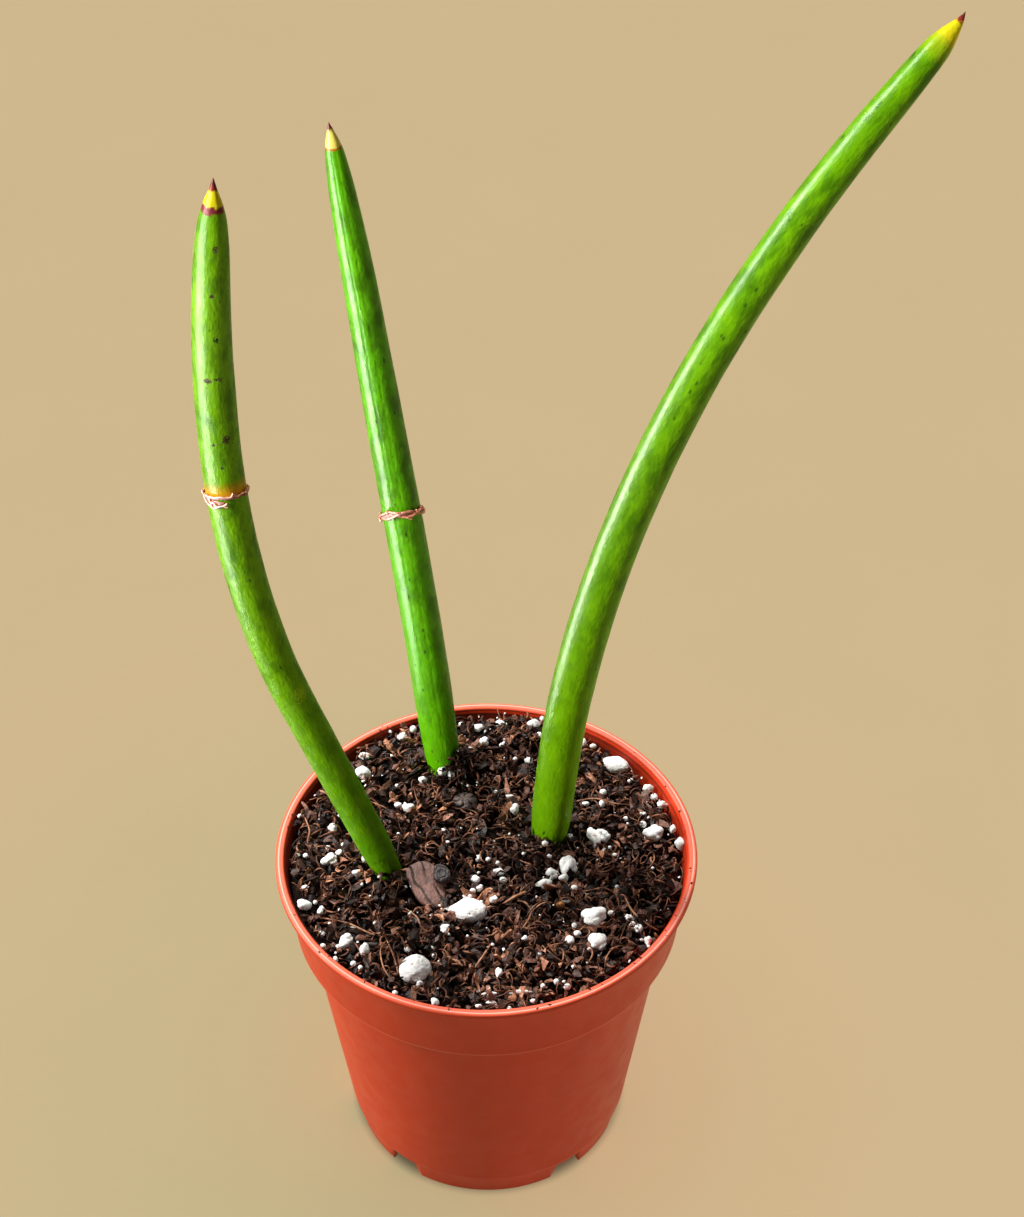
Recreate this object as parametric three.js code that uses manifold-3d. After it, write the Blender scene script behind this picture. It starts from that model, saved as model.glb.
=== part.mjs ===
// Potted cylindrical snake plant: a thin plastic nursery pot, its potting mix with bark and perlite,
// and three round pointed leaves, two of which wear a dry ring.
// Millimetres, +Z up. Everything is placed from the pot's axis, with z = 0 at the foot of the pot.
// The last lines move the whole plant so that its box stands centred on the origin.
import * as THREE from 'three';
import { mergeVertices } from 'three/addons/utils/BufferGeometryUtils.js';
import Module from 'manifold-3d';

const wasm = await Module();
wasm.setup();

// Driving dimensions of the pot: a standard nursery pot, 12 cm across the rim.
const RIM_RADIUS = 60;
const POT_HEIGHT = 107;
const WALL = 0.9;
const LIP_HEIGHT = 1.6;
const LIP_WIDTH = 2.5;
const LIP_ROUND = 0.5;
const COLLAR_TOP_RADIUS = 57.8;
const COLLAR_FOOT_RADIUS = 55.7;
const STEP_HEIGHT = 84.4;
const STEP_DROP = 0.8;
const BODY_TOP_RADIUS = 52.2;
const BODY_FOOT_RADIUS = 42.6;
const FOOT_LINE_HEIGHT = 8;
const FOOT_LINE_INSET = 0.4;
const FOOT_RADIUS = 40.7;
const FOOT_WALL = 1.2;
const FLOOR_UNDERSIDE = 7;
const FLOOR_TOP = 8.1;
const POT_SEGMENTS = 60;

// Drainage: notches in the foot ring, in pairs to each side of the front, and holes in the floor.
const NOTCH_HEIGHT = 6.5;
const NOTCH_FOOT_WIDTH = 10.7;
const NOTCH_TOP_WIDTH = 8.2;
const NOTCH_PITCH = 36;
const NOTCH_FRONT = -91;
const NOTCHES_A_SIDE = 4;
const DRAIN_RADIUS = 4;
const DRAIN_CIRCLE = 26;
const DRAIN_COUNT = 6;

// Gap kept between pieces that touch.
const GAP = 0.3;

// Potting mix: a low mound that leans a little, higher at the left and the back.
const MIX_EDGE_HEIGHT = 103.3;
const MIX_REACH = 55;
const MIX_MOUND = 1;
const MIX_LEAN_X = -1.4;
const MIX_LEAN_Y = 0.65;
const MIX_SEGMENTS = 40;
const MIX_RINGS = 9;
const CRUMB_RELIEF = 0.45;

// Small repeats in the mix, drawn with a seed.
const SEED = 20417;
const SMALL_PERLITE = { count: 56, smallest: 2, largest: 4.4, room: 2.4 };
const BARK_CRUMBS = { count: 36, shortest: 3, longest: 6.5, thick: 1.4, tilt: 0.45, proud: 0.2, room: 1.8 };
const COIR_FIBRES = {
  count: 24, shortest: 7, longest: 16, curl: 1.6, arch: 0.7, sunk: 0.5, strand: 0.45, room: 1.2,
};
const REPEAT_REACH = 51;
const ROOM_ROUND_LEAF = 11;
const ROOM_PAST_LARGE_PIECE = 3.2;
const DRAWS_PER_SPOT = 200;

// Leaves: where each stands, the direction it leans to (degrees from +X), its spine in that upright
// plane as [out, up], and its girth as [distance from the point, radius].
const LEAF_SIDES = 16;
const LEAF_STEPS = 36;
const LEFT_LEAF = {
  foot: [-28, -5],
  leans: 195,
  spine: [[-9, 74], [0, 104.5], [14, 150], [27.5, 195.5], [35.2, 242], [35.8, 289.5], [31, 336]],
  girth: [[0, 0], [6.5, 2.2], [13, 3.5], [26, 4.3], [60, 4.9], [115, 5.05], [180, 4.7], [236, 4], [262, 3.8]],
};
const MIDDLE_LEAF = {
  foot: [-13, 36.5],
  leans: 165,
  spine: [[-2.5, 72.5], [0, 104.5], [4, 147], [8.8, 189.5], [14, 232], [19, 274.5], [24.5, 317]],
  girth: [[0, 0], [6, 1.9], [12, 2.75], [24, 3.55], [50, 4.4], [105, 5.2], [170, 5.55], [214, 5], [240, 4.7]],
};
const RIGHT_LEAF = {
  foot: [18, 9],
  leans: 10,
  spine: [[-1.5, 72], [0, 104], [5.4, 158], [17.2, 211], [36, 262.5], [61, 309.5], [92.5, 355.5]],
  girth: [[0, 0], [7.5, 2.6], [14.5, 3.5], [36, 4.3], [80, 5], [140, 5.5], [205, 5.9], [262, 5.5], [296, 5]],
};

// Dry rings: distance from the leaf's point, wall, half height, and how far and towards where
// (degrees from +X) the ring rides up the leaf.
const LEFT_RING = { from_point: 87, wall: 0.8, half_height: 0.8, rise: 2, rises_to: 270 };
const LEFT_FLAKE = { drop: 2.6, half_angle: 26, at: 243 };
const MIDDLE_RING = { from_point: 119, wall: 0.9, half_height: 1.1, rise: 3.6, rises_to: 275 };
const MIDDLE_TWISTS = 4;
const RING_SEGMENTS = 36;
const RING_SIDES = 6;

// Large loose pieces on the mix: [x, y] from the pot's axis, length, width, height, turn in degrees.
const BARK_CHIP = { at: [-16.5, -12], length: 15.5, width: 10.8, thick: 2.4, turn: 14, tilt: 16 };
const BARK_KNOT = { at: [3.6, 2.2], length: 5.6, width: 4.8, thick: 2.2 };
const ROUND_BARK = { at: [-6.5, 20.5], length: 7.4, width: 6.6, height: 3.6, turn: 20 };
const LARGE_PERLITE = [
  { name: 'perlite_teardrop', at: [-5.5, -21], length: 12, width: 8, height: 6, turn: -6, point: 0.62 },
  { name: 'perlite_ball', at: [-19, -42], length: 9, width: 8.6, height: 7.4, turn: 30, point: 0 },
  { name: 'perlite_front_right', at: [30.5, -22], length: 8.2, width: 7, height: 5.6, turn: 15, point: 0.1 },
  { name: 'perlite_front_right_small', at: [31, -31], length: 6.6, width: 5.8, height: 5, turn: 70 },
  { name: 'perlite_centre_right', at: [23, -4.5], length: 8.4, width: 5.6, height: 5, turn: 78, point: 0.2 },
  { name: 'perlite_centre', at: [16.4, -11], length: 5.8, width: 4.6, height: 4.2, turn: 20, point: 0.1 },
  { name: 'perlite_behind_leaf', at: [31, 7.4], length: 8, width: 5, height: 4.8, turn: 100, point: 0.3 },
  { name: 'perlite_right', at: [48, 10], length: 6.8, width: 6, height: 4.8, turn: 25, point: 0 },
  { name: 'perlite_back_right', at: [38, 37], length: 8.6, width: 6, height: 4.6, turn: -20, point: 0.2 },
  { name: 'perlite_back_left', at: [-36.5, 32], length: 5, width: 4.6, height: 4.2, turn: 0, point: 0 },
  { name: 'perlite_left', at: [-44.5, -2.5], length: 5.4, width: 4.4, height: 4, turn: 30, point: 0.1 },
  { name: 'perlite_front_left', at: [-38.5, -32], length: 5.2, width: 4.4, height: 4, turn: 50, point: 0.1 },
];
const LUMP_SUNK = 0.35;
const LUMP_UNEVENNESS = 0.07;
const CHIP_LIFT = 1.1;
const CHIP_SIDES = 14;
const KNOT_SIDES = 9;

// Colours, roughness and metalness of the real surfaces.
const PLASTIC = { color: 0xb2452a, roughness: 0.45, metalness: 0 };
const PEAT = { color: 0x2c1a14, roughness: 0.95, metalness: 0 };
const LEAF_SKIN = { color: 0x3f9a1c, roughness: 0.3, metalness: 0 };
const DRY_RING = { color: 0xb5623f, roughness: 0.55, metalness: 0 };
const BARK = { color: 0x4a2f28, roughness: 0.85, metalness: 0 };
const WHITE_PERLITE = { color: 0xece9e4, roughness: 0.9, metalness: 0 };

// Seeded random numbers from 0 to 1.
function seededRandom(seed) {
  let state = seed >>> 0;
  return function next() {
    state = (state + 0x6d2b79f5) >>> 0;
    let mixed = Math.imul(state ^ (state >>> 15), state | 1);
    mixed ^= mixed + Math.imul(mixed ^ (mixed >>> 7), mixed | 61);
    return ((mixed ^ (mixed >>> 14)) >>> 0) / 4294967296;
  };
}

const degrees = THREE.MathUtils.degToRad;

// Merges shared corners, drops collapsed triangles and turns the faces outwards.
function weld(geometry) {
  const bare = geometry.clone();
  bare.deleteAttribute('normal');
  bare.deleteAttribute('uv');
  const merged = mergeVertices(bare, 1e-4);
  const position = merged.attributes.position;
  const kept = [];
  let volume = 0;
  const corners = [new THREE.Vector3(), new THREE.Vector3(), new THREE.Vector3()];
  for (let i = 0; i < merged.index.count; i += 3) {
    const abc = [0, 1, 2].map((k) => merged.index.getX(i + k));
    if (abc[0] === abc[1] || abc[1] === abc[2] || abc[2] === abc[0]) continue;
    corners.forEach((corner, k) => corner.fromBufferAttribute(position, abc[k]));
    volume += corners[0].dot(corners[1].clone().cross(corners[2]));
    kept.push(abc);
  }
  const faces = volume < 0 ? kept.map(([a, b, c]) => [a, c, b]) : kept;
  merged.setIndex(faces.flat());
  merged.computeVertexNormals();
  return merged;
}

function toSolid(geometry) {
  const welded = weld(geometry);
  const mesh = new wasm.Mesh({
    numProp: 3,
    vertProperties: new Float32Array(welded.attributes.position.array),
    triVerts: new Uint32Array(welded.index.array),
  });
  return new wasm.Manifold(mesh);
}

function toGeometry(solid) {
  const mesh = solid.getMesh();
  const geometry = new THREE.BufferGeometry();
  geometry.setAttribute('position', new THREE.BufferAttribute(new Float32Array(mesh.vertProperties), 3));
  geometry.setIndex(new THREE.BufferAttribute(new Uint32Array(mesh.triVerts), 1));
  geometry.computeVertexNormals();
  return geometry;
}

// The largest connected body of a solid: loose scraps of a cut are dropped.
function largestBody(solid) {
  const bodies = solid.decompose();
  return bodies.reduce((best, body) => (body.volume() > best.volume() ? body : best));
}

// A closed profile of [radius, height] pairs, turned about the Z axis.
function turned(profile, segments) {
  const points = profile.map(([radius, height]) => new THREE.Vector2(radius, height));
  return new THREE.LatheGeometry(points, segments).rotateX(Math.PI / 2);
}

function piece(name, geometry, look) {
  const mesh = new THREE.Mesh(geometry, new THREE.MeshStandardMaterial(look));
  mesh.name = name;
  return mesh;
}

// Inside of the pot, from the floor to the lip, as [radius, height].
const LIP_BASE = POT_HEIGHT - LIP_HEIGHT;
const STEP_TOP = STEP_HEIGHT + STEP_DROP;
const POT_INSIDE = [
  [BODY_FOOT_RADIUS - WALL, FLOOR_TOP],
  [BODY_TOP_RADIUS - WALL, STEP_HEIGHT],
  [COLLAR_FOOT_RADIUS - WALL, STEP_TOP],
  [COLLAR_TOP_RADIUS - WALL, LIP_BASE],
];

function potProfile() {
  const inside = [...POT_INSIDE].reverse();
  return [
    [0, FLOOR_UNDERSIDE],
    [FOOT_RADIUS - FOOT_WALL, FLOOR_UNDERSIDE],
    [FOOT_RADIUS - FOOT_WALL, 0],
    [FOOT_RADIUS, 0],
    [BODY_FOOT_RADIUS - FOOT_LINE_INSET, FOOT_LINE_HEIGHT],
    [BODY_FOOT_RADIUS, FOOT_LINE_HEIGHT + FOOT_LINE_INSET],
    [BODY_TOP_RADIUS, STEP_HEIGHT - STEP_DROP],
    [COLLAR_FOOT_RADIUS, STEP_HEIGHT],
    [COLLAR_TOP_RADIUS, LIP_BASE],
    [RIM_RADIUS - LIP_ROUND / 2, LIP_BASE],
    [RIM_RADIUS, LIP_BASE + LIP_ROUND],
    [RIM_RADIUS, POT_HEIGHT - LIP_ROUND],
    [RIM_RADIUS - LIP_ROUND, POT_HEIGHT],
    [RIM_RADIUS - LIP_WIDTH + LIP_ROUND, POT_HEIGHT],
    [RIM_RADIUS - LIP_WIDTH, POT_HEIGHT - LIP_ROUND],
    ...inside,
    [0, FLOOR_TOP],
  ];
}

// One notch cutter: a block with slanted sides, standing through the foot ring.
function notchCutter(angle) {
  const outline = new THREE.Shape();
  outline.moveTo(-NOTCH_FOOT_WIDTH / 2, -1);
  outline.lineTo(NOTCH_FOOT_WIDTH / 2, -1);
  outline.lineTo(NOTCH_FOOT_WIDTH / 2, 0);
  outline.lineTo(NOTCH_TOP_WIDTH / 2, NOTCH_HEIGHT);
  outline.lineTo(-NOTCH_TOP_WIDTH / 2, NOTCH_HEIGHT);
  outline.lineTo(-NOTCH_FOOT_WIDTH / 2, 0);
  const depth = 10;
  const block = new THREE.ExtrudeGeometry(outline, { depth, bevelEnabled: false, steps: 1 });
  block.rotateX(Math.PI / 2);
  block.translate(0, -(FOOT_RADIUS - depth / 2), 0);
  return block.rotateZ(degrees(angle + 90));
}

function drainCutter(x, y) {
  const height = 4;
  const cutter = new THREE.CylinderGeometry(DRAIN_RADIUS, DRAIN_RADIUS, height, 16);
  return cutter.rotateX(Math.PI / 2).translate(x, y, (FLOOR_UNDERSIDE + FLOOR_TOP) / 2);
}

function nurseryPot() {
  let solid = toSolid(turned(potProfile(), POT_SEGMENTS));
  for (let k = 1; k <= NOTCHES_A_SIDE; k += 1) {
    solid = solid.subtract(toSolid(notchCutter(NOTCH_FRONT - NOTCH_PITCH * k)));
    solid = solid.subtract(toSolid(notchCutter(NOTCH_FRONT + NOTCH_PITCH * k)));
  }
  solid = solid.subtract(toSolid(drainCutter(0, 0)));
  for (let k = 0; k < DRAIN_COUNT; k += 1) {
    const angle = (k / DRAIN_COUNT) * Math.PI * 2;
    const drain = drainCutter(DRAIN_CIRCLE * Math.cos(angle), DRAIN_CIRCLE * Math.sin(angle));
    solid = solid.subtract(toSolid(drain));
  }
  return piece('nursery_pot', toGeometry(solid), PLASTIC);
}

// A leaf is turned as a straight spindle and then bent along its spine.
class Leaf {
  constructor({ foot, leans, spine, girth }) {
    this.foot = new THREE.Vector3(foot[0], foot[1], 0);
    this.away = new THREE.Vector3(Math.cos(degrees(leans)), Math.sin(degrees(leans)), 0);
    this.across = new THREE.Vector3(0, 0, 1).cross(this.away);
    this.spine = new THREE.SplineCurve(spine.map(([out, up]) => new THREE.Vector2(out, up)));
    this.spine.arcLengthDivisions = 600;
    this.length = this.spine.getLength();
    this.girth = new THREE.SplineCurve(girth.map(([from, radius]) => new THREE.Vector2(from, radius)));
  }

  // Centre, direction and the two directions across the leaf, at a distance from its point.
  station(fromPoint) {
    const share = THREE.MathUtils.clamp(1 - fromPoint / this.length, 0, 1);
    const at = this.spine.getPointAt(share);
    const along = this.spine.getTangentAt(share);
    const centre = this.foot.clone().addScaledVector(this.away, at.x).setZ(at.y);
    const direction = this.away.clone().multiplyScalar(along.x).setZ(along.y);
    const bend = this.across.clone().cross(direction);
    return { centre, direction, bend, across: this.across };
  }

  radius(fromPoint) {
    const samples = this.girth.getPoints(LEAF_STEPS * 4);
    const after = samples.findIndex((sample) => sample.x >= fromPoint);
    const [a, b] = [samples[after - 1], samples[after]];
    return THREE.MathUtils.mapLinear(fromPoint, a.x, b.x, a.y, b.y);
  }

  // The spindle's profile from the buried end to the point, grown sideways by `extra`.
  profile(extra) {
    const samples = this.girth.getPoints(LEAF_STEPS);
    const end = samples[samples.length - 1];
    const shoulder = 1.2;
    const points = samples.map((sample) => new THREE.Vector2(sample.y + extra, -sample.x));
    points[0] = new THREE.Vector2(0, extra);
    points.push(new THREE.Vector2((end.y + extra) * 0.7, -(end.x + shoulder)));
    points.push(new THREE.Vector2(0, -(end.x + shoulder + extra)));
    return points.reverse();
  }

  geometry(extra = 0) {
    const spindle = new THREE.LatheGeometry(this.profile(extra), LEAF_SIDES);
    const position = spindle.attributes.position;
    const point = new THREE.Vector3();
    for (let i = 0; i < position.count; i += 1) {
      point.fromBufferAttribute(position, i);
      const { centre, direction, bend, across } = this.station(-point.y);
      const past = Math.max(point.y, 0) + Math.min(this.length + point.y, 0);
      centre.addScaledVector(across, point.x).addScaledVector(bend, point.z).addScaledVector(direction, past);
      position.setXYZ(i, centre.x, centre.y, centre.z);
    }
    return weld(spindle);
  }
}

// A dry ring hugs its leaf: a torus whose wall is measured from the leaf's skin.
// The shape function gives, for an angle round the leaf and a place round the wall's section,
// how far the surface stands off the skin and how far it lies up the leaf.
function dryRing(name, leaf, ring, shape) {
  const band = new THREE.TorusGeometry(1, 0.5, RING_SIDES, RING_SEGMENTS);
  const position = band.attributes.position;
  const { centre, direction, bend, across } = leaf.station(ring.from_point);
  const skin = leaf.radius(ring.from_point) + GAP;
  for (let i = 0; i < position.count; i += 1) {
    const column = i % (RING_SEGMENTS + 1);
    const row = Math.floor(i / (RING_SEGMENTS + 1));
    const angle = (column / RING_SEGMENTS) * Math.PI * 2;
    const section = (row / RING_SIDES) * Math.PI * 2;
    const out = across.clone().multiplyScalar(Math.cos(angle)).addScaledVector(bend, Math.sin(angle));
    const heading = THREE.MathUtils.radToDeg(Math.atan2(out.y, out.x));
    const { off, up } = shape(heading, section);
    const lift = up + ring.rise * Math.cos(degrees(heading - ring.rises_to));
    const spot = centre.clone().addScaledVector(out, skin + off).addScaledVector(direction, lift);
    position.setXYZ(i, spot.x, spot.y, spot.z);
  }
  return piece(name, weld(band), DRY_RING);
}

// Shortest turn from one heading to another, in degrees.
function turnBetween(from, to) {
  return THREE.MathUtils.euclideanModulo(to - from + 180, 360) - 180;
}

function leftRingShape(heading, section) {
  const jag = 0.16 * Math.sin(degrees(heading * 9)) + 0.12 * Math.sin(degrees(heading * 14 + 40));
  const near = Math.max(0, 1 - Math.abs(turnBetween(heading, LEFT_FLAKE.at)) / LEFT_FLAKE.half_angle);
  const height = Math.sin(section) * LEFT_RING.half_height;
  const flake = Math.min(Math.sin(section), 0) * LEFT_FLAKE.drop * near;
  return { off: LEFT_RING.wall * (0.5 + 0.5 * Math.cos(section)), up: height + flake + jag };
}

// The middle ring is a flat strand twisted on itself: it swells and narrows as it goes round.
function middleRingShape(heading, section) {
  const twist = 0.5 + 0.5 * Math.cos(degrees(heading * MIDDLE_TWISTS));
  const height = MIDDLE_RING.half_height * (0.55 + 0.45 * twist);
  const wall = MIDDLE_RING.wall * (1 - 0.35 * twist);
  const sway = 0.25 * Math.sin(degrees(heading * MIDDLE_TWISTS + 60));
  return { off: wall * (0.5 + 0.5 * Math.cos(section)), up: Math.sin(section) * height + sway };
}

// Height of the potting mix, without its crumbs.
function mixHeight(x, y) {
  const out = (x * x + y * y) / (MIX_REACH * MIX_REACH);
  return MIX_EDGE_HEIGHT + (MIX_LEAN_X * x + MIX_LEAN_Y * y) / MIX_REACH + MIX_MOUND * (1 - out);
}

function crumbRelief(x, y) {
  return CRUMB_RELIEF * (Math.sin(x * 0.9 + y * 0.4) + Math.sin(y * 1.1 - x * 0.3 + 2) * Math.cos(x * 0.5));
}

// The fill of the pot, with the mound and its crumbs raised on its top face.
function mixBed() {
  const walls = POT_INSIDE.map(([radius, height]) => [radius - GAP, height]);
  walls[0][1] += GAP;
  const top = walls.pop();
  const rings = Array.from({ length: MIX_RINGS }, (_, k) => [top[0] * (1 - k / MIX_RINGS), POT_HEIGHT]);
  const bed = turned([[0, walls[0][1]], ...walls, ...rings, [0, POT_HEIGHT]], MIX_SEGMENTS);
  const position = bed.attributes.position;
  for (let i = 0; i < position.count; i += 1) {
    if (position.getZ(i) < POT_HEIGHT - 1e-3) continue;
    const x = position.getX(i);
    const y = position.getY(i);
    const calm = Math.min(1, (top[0] - Math.hypot(x, y)) / 4);
    position.setZ(i, mixHeight(x, y) + crumbRelief(x, y) * calm);
  }
  return bed;
}

// Everything in the mix stays inside this envelope, clear of the pot's wall.
function mixEnvelope() {
  const walls = POT_INSIDE.map(([radius, height]) => [radius - GAP, height]);
  walls[0][1] += GAP;
  const top = walls[walls.length - 1];
  return turned([[0, walls[0][1]], ...walls, [top[0], POT_HEIGHT + 10], [0, POT_HEIGHT + 10]], MIX_SEGMENTS);
}

// A lumpy ellipsoid, drawn out to a blunt point at its -X end when `point` is above 0.
function lump({ length, width, height, point = 0 }, detail, roughness, phase) {
  const stone = weld(new THREE.IcosahedronGeometry(1, detail));
  const position = stone.attributes.position;
  for (let i = 0; i < position.count; i += 1) {
    const [x, y, z] = [position.getX(i), position.getY(i), position.getZ(i)];
    const bump = 1 + roughness * Math.sin(5 * x + 3 * y + phase) * Math.cos(4 * z - 2 * y + phase);
    const waist = 1 - point * Math.max(0, -x);
    position.setXYZ(i, x * bump, y * bump * waist, z * bump * waist);
  }
  return stone.scale(length / 2, width / 2, height / 2);
}

// A large lump where it lies, sunk into the mix by a share of its height.
function seatedLump(spec, detail, grow, phase) {
  const grown = { ...spec, length: spec.length + 2 * grow };
  grown.width = spec.width + 2 * grow;
  grown.height = spec.height + 2 * grow;
  const [x, y] = spec.at;
  const z = mixHeight(x, y) + spec.height * (0.5 - LUMP_SUNK);
  return lump(grown, detail, LUMP_UNEVENNESS, phase).rotateZ(degrees(spec.turn)).translate(x, y, z);
}

// A flat flake of bark with an uneven outline, lying in the XY plane about its own centre.
function barkSlab(length, width, thick, sides, phase) {
  const outline = new THREE.Shape();
  for (let k = 0; k < sides; k += 1) {
    const angle = (k / sides) * Math.PI * 2;
    const reach = 1 + 0.12 * Math.sin(angle * 3 + phase) + 0.06 * Math.cos(angle * 5 + phase);
    const x = (Math.cos(angle) * reach * width) / 2;
    const y = (Math.sin(angle) * reach * length) / 2;
    if (k === 0) outline.moveTo(x, y);
    else outline.lineTo(x, y);
  }
  const slab = new THREE.ExtrudeGeometry(outline, { depth: thick, bevelEnabled: false, steps: 1 });
  return slab.translate(0, 0, -thick / 2);
}

// The place of the large bark chip: turned, and tilted so that its upper face looks to the front.
function chipPlace(lift) {
  const [x, y] = BARK_CHIP.at;
  const z = mixHeight(x, y) + CHIP_LIFT;
  const turn = new THREE.Matrix4().makeRotationZ(degrees(BARK_CHIP.turn));
  const tilt = new THREE.Matrix4().makeRotationX(degrees(BARK_CHIP.tilt));
  const raise = new THREE.Matrix4().makeTranslation(0, 0, lift);
  return new THREE.Matrix4().makeTranslation(x, y, z).multiply(tilt).multiply(turn).multiply(raise);
}

function barkChipGeometry(grow) {
  const { length, width, thick } = BARK_CHIP;
  const slab = barkSlab(length + 2 * grow, width + 2 * grow, thick + 2 * grow, CHIP_SIDES, 0.8);
  return slab.applyMatrix4(chipPlace(0));
}

function barkKnotGeometry() {
  const { length, width, thick, at } = BARK_KNOT;
  const slab = barkSlab(length, width, thick, KNOT_SIDES, 2.4).translate(at[0], at[1], 0);
  return slab.applyMatrix4(chipPlace(BARK_CHIP.thick / 2 + GAP + thick / 2));
}

// A coir fibre: a thin three-sided strand that arches over the mix, with both ends in it.
function coirFibre(random, x, y) {
  const { shortest, longest, strand, sunk } = COIR_FIBRES;
  const heading = random() * Math.PI * 2;
  const length = THREE.MathUtils.lerp(shortest, longest, random());
  const curl = (random() - 0.5) * COIR_FIBRES.curl;
  const stations = [0, 0.34, 0.67, 1];
  const points = stations.map((share) => {
    const angle = heading + curl * (share - 0.5);
    const px = x + Math.cos(angle) * length * (share - 0.5);
    const py = y + Math.sin(angle) * length * (share - 0.5);
    const arch = Math.sin(share * Math.PI) * COIR_FIBRES.arch - sunk;
    return new THREE.Vector3(px, py, mixHeight(px, py) + arch);
  });
  const section = new THREE.Shape([0, 1, 2].map((k) => {
    const angle = (k / 3) * Math.PI * 2;
    return new THREE.Vector2(Math.cos(angle) * strand, Math.sin(angle) * strand);
  }));
  const extrudePath = new THREE.CatmullRomCurve3(points);
  return new THREE.ExtrudeGeometry(section, { extrudePath, steps: 4, bevelEnabled: false });
}

// Small perlite: most grains near the smallest size, a few near the largest.
function smallPerlite(random, x, y) {
  const { smallest, largest } = SMALL_PERLITE;
  const size = THREE.MathUtils.lerp(smallest, largest, random() * random());
  const shape = { length: size * (1 + 0.4 * random()), width: size, height: size * 0.9 };
  const stone = lump(shape, 0, 0.1, random() * 6).rotateZ(random() * 6).rotateX(random() * 0.5);
  return stone.translate(x, y, mixHeight(x, y) + size * 0.1);
}

function barkCrumb(random, x, y) {
  const { shortest, longest, thick, tilt, proud } = BARK_CRUMBS;
  const length = THREE.MathUtils.lerp(shortest, longest, random());
  const width = length * (0.5 + 0.3 * random());
  const crumb = barkSlab(length, width, thick, 5, random() * 6).rotateZ(random() * 6);
  crumb.rotateX((2 * random() - 1) * tilt).rotateY((2 * random() - 1) * tilt);
  return crumb.translate(x, y, mixHeight(x, y) + proud);
}

// Draws a spot on the mix that is clear of the leaves and the large pieces.
function drawSpot(random, taken) {
  for (let attempt = 0; attempt < DRAWS_PER_SPOT; attempt += 1) {
    const reach = REPEAT_REACH * Math.sqrt(random());
    const angle = random() * Math.PI * 2;
    const spot = [reach * Math.cos(angle), reach * Math.sin(angle)];
    const clear = taken.every(([x, y, room]) => Math.hypot(spot[0] - x, spot[1] - y) > room);
    if (clear) return spot;
  }
  return null;
}

function smallRepeats(taken) {
  const random = seededRandom(SEED);
  const repeats = [];
  const place = ({ count, room }, make) => {
    for (let k = 0; k < count; k += 1) {
      const spot = drawSpot(random, taken);
      if (!spot) continue;
      repeats.push(make(spot));
      taken.push([spot[0], spot[1], room]);
    }
  };
  place(SMALL_PERLITE, ([x, y]) => smallPerlite(random, x, y));
  place(BARK_CRUMBS, ([x, y]) => barkCrumb(random, x, y));
  place(COIR_FIBRES, ([x, y]) => coirFibre(random, x, y));
  return repeats;
}

function pottingMix(leaves, largePieces) {
  const taken = leaves.map((leaf) => [leaf.foot.x, leaf.foot.y, ROOM_ROUND_LEAF]);
  largePieces.forEach(({ at, length }) => taken.push([...at, length / 2 + ROOM_PAST_LARGE_PIECE]));
  let solid = toSolid(mixBed());
  smallRepeats(taken).forEach((repeat) => {
    solid = solid.add(toSolid(repeat));
  });
  solid = solid.intersect(toSolid(mixEnvelope()));
  leaves.forEach((leaf) => {
    solid = solid.subtract(toSolid(leaf.geometry(GAP)));
  });
  largePieces.forEach(({ socket }) => {
    solid = solid.subtract(toSolid(socket));
  });
  return piece('potting_mix', toGeometry(largestBody(solid)), PEAT);
}

const leftLeaf = new Leaf(LEFT_LEAF);
const middleLeaf = new Leaf(MIDDLE_LEAF);
const rightLeaf = new Leaf(RIGHT_LEAF);

const largePerlite = LARGE_PERLITE.map((spec, k) => ({
  ...spec,
  mesh: piece(spec.name, seatedLump(spec, 1, 0, k), WHITE_PERLITE),
  socket: seatedLump(spec, 1, GAP, k),
}));
const roundBark = {
  ...ROUND_BARK,
  mesh: piece('round_bark', seatedLump(ROUND_BARK, 1, 0, 4), BARK),
  socket: seatedLump(ROUND_BARK, 1, GAP, 4),
};
const barkChip = {
  ...BARK_CHIP,
  mesh: piece('bark_chip', weld(barkChipGeometry(0)), BARK),
  socket: barkChipGeometry(GAP),
};
const largePieces = [...largePerlite, roundBark, barkChip];

const plant = new THREE.Group();
plant.add(nurseryPot());
plant.add(pottingMix([leftLeaf, middleLeaf, rightLeaf], largePieces));
plant.add(piece('left_leaf', leftLeaf.geometry(), LEAF_SKIN));
plant.add(piece('middle_leaf', middleLeaf.geometry(), LEAF_SKIN));
plant.add(piece('right_leaf', rightLeaf.geometry(), LEAF_SKIN));
plant.add(dryRing('left_leaf_ring', leftLeaf, LEFT_RING, leftRingShape));
plant.add(dryRing('middle_leaf_ring', middleLeaf, MIDDLE_RING, middleRingShape));
plant.add(...largePieces.map(({ mesh }) => mesh));
plant.add(piece('bark_knot', weld(barkKnotGeometry()), BARK));

// The origin is the middle of the underside of the whole plant's box.
const box = new THREE.Box3().setFromObject(plant, true);
const middle = box.getCenter(new THREE.Vector3());
plant.position.set(-middle.x, -middle.y, -box.min.z);

const pottedPlant = new THREE.Group();
pottedPlant.add(plant);
export default pottedPlant;
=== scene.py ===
# %% [markdown]
# # A potted cylindrical snake plant
# Three round, pointed leaves stand in a plastic nursery pot filled with peat, coir, bark and perlite.
# The solid model already gives every piece its size and place. This script dresses it: each solid is
# replaced by a finer mesh of the same form, and every surface gets a procedural material.
# Lengths are millimetres, measured from the pot's axis with the foot of the pot at height 0, because
# that is how a pot and a plant are measured. A finished piece is scaled to metres, and the lamps are
# placed in metres too.

# %% Load the solid model and measure it
import math
import random

import bmesh
import bpy
from mathutils import Euler, Matrix, Vector, noise
from mathutils.geometry import interpolate_bezier


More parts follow.
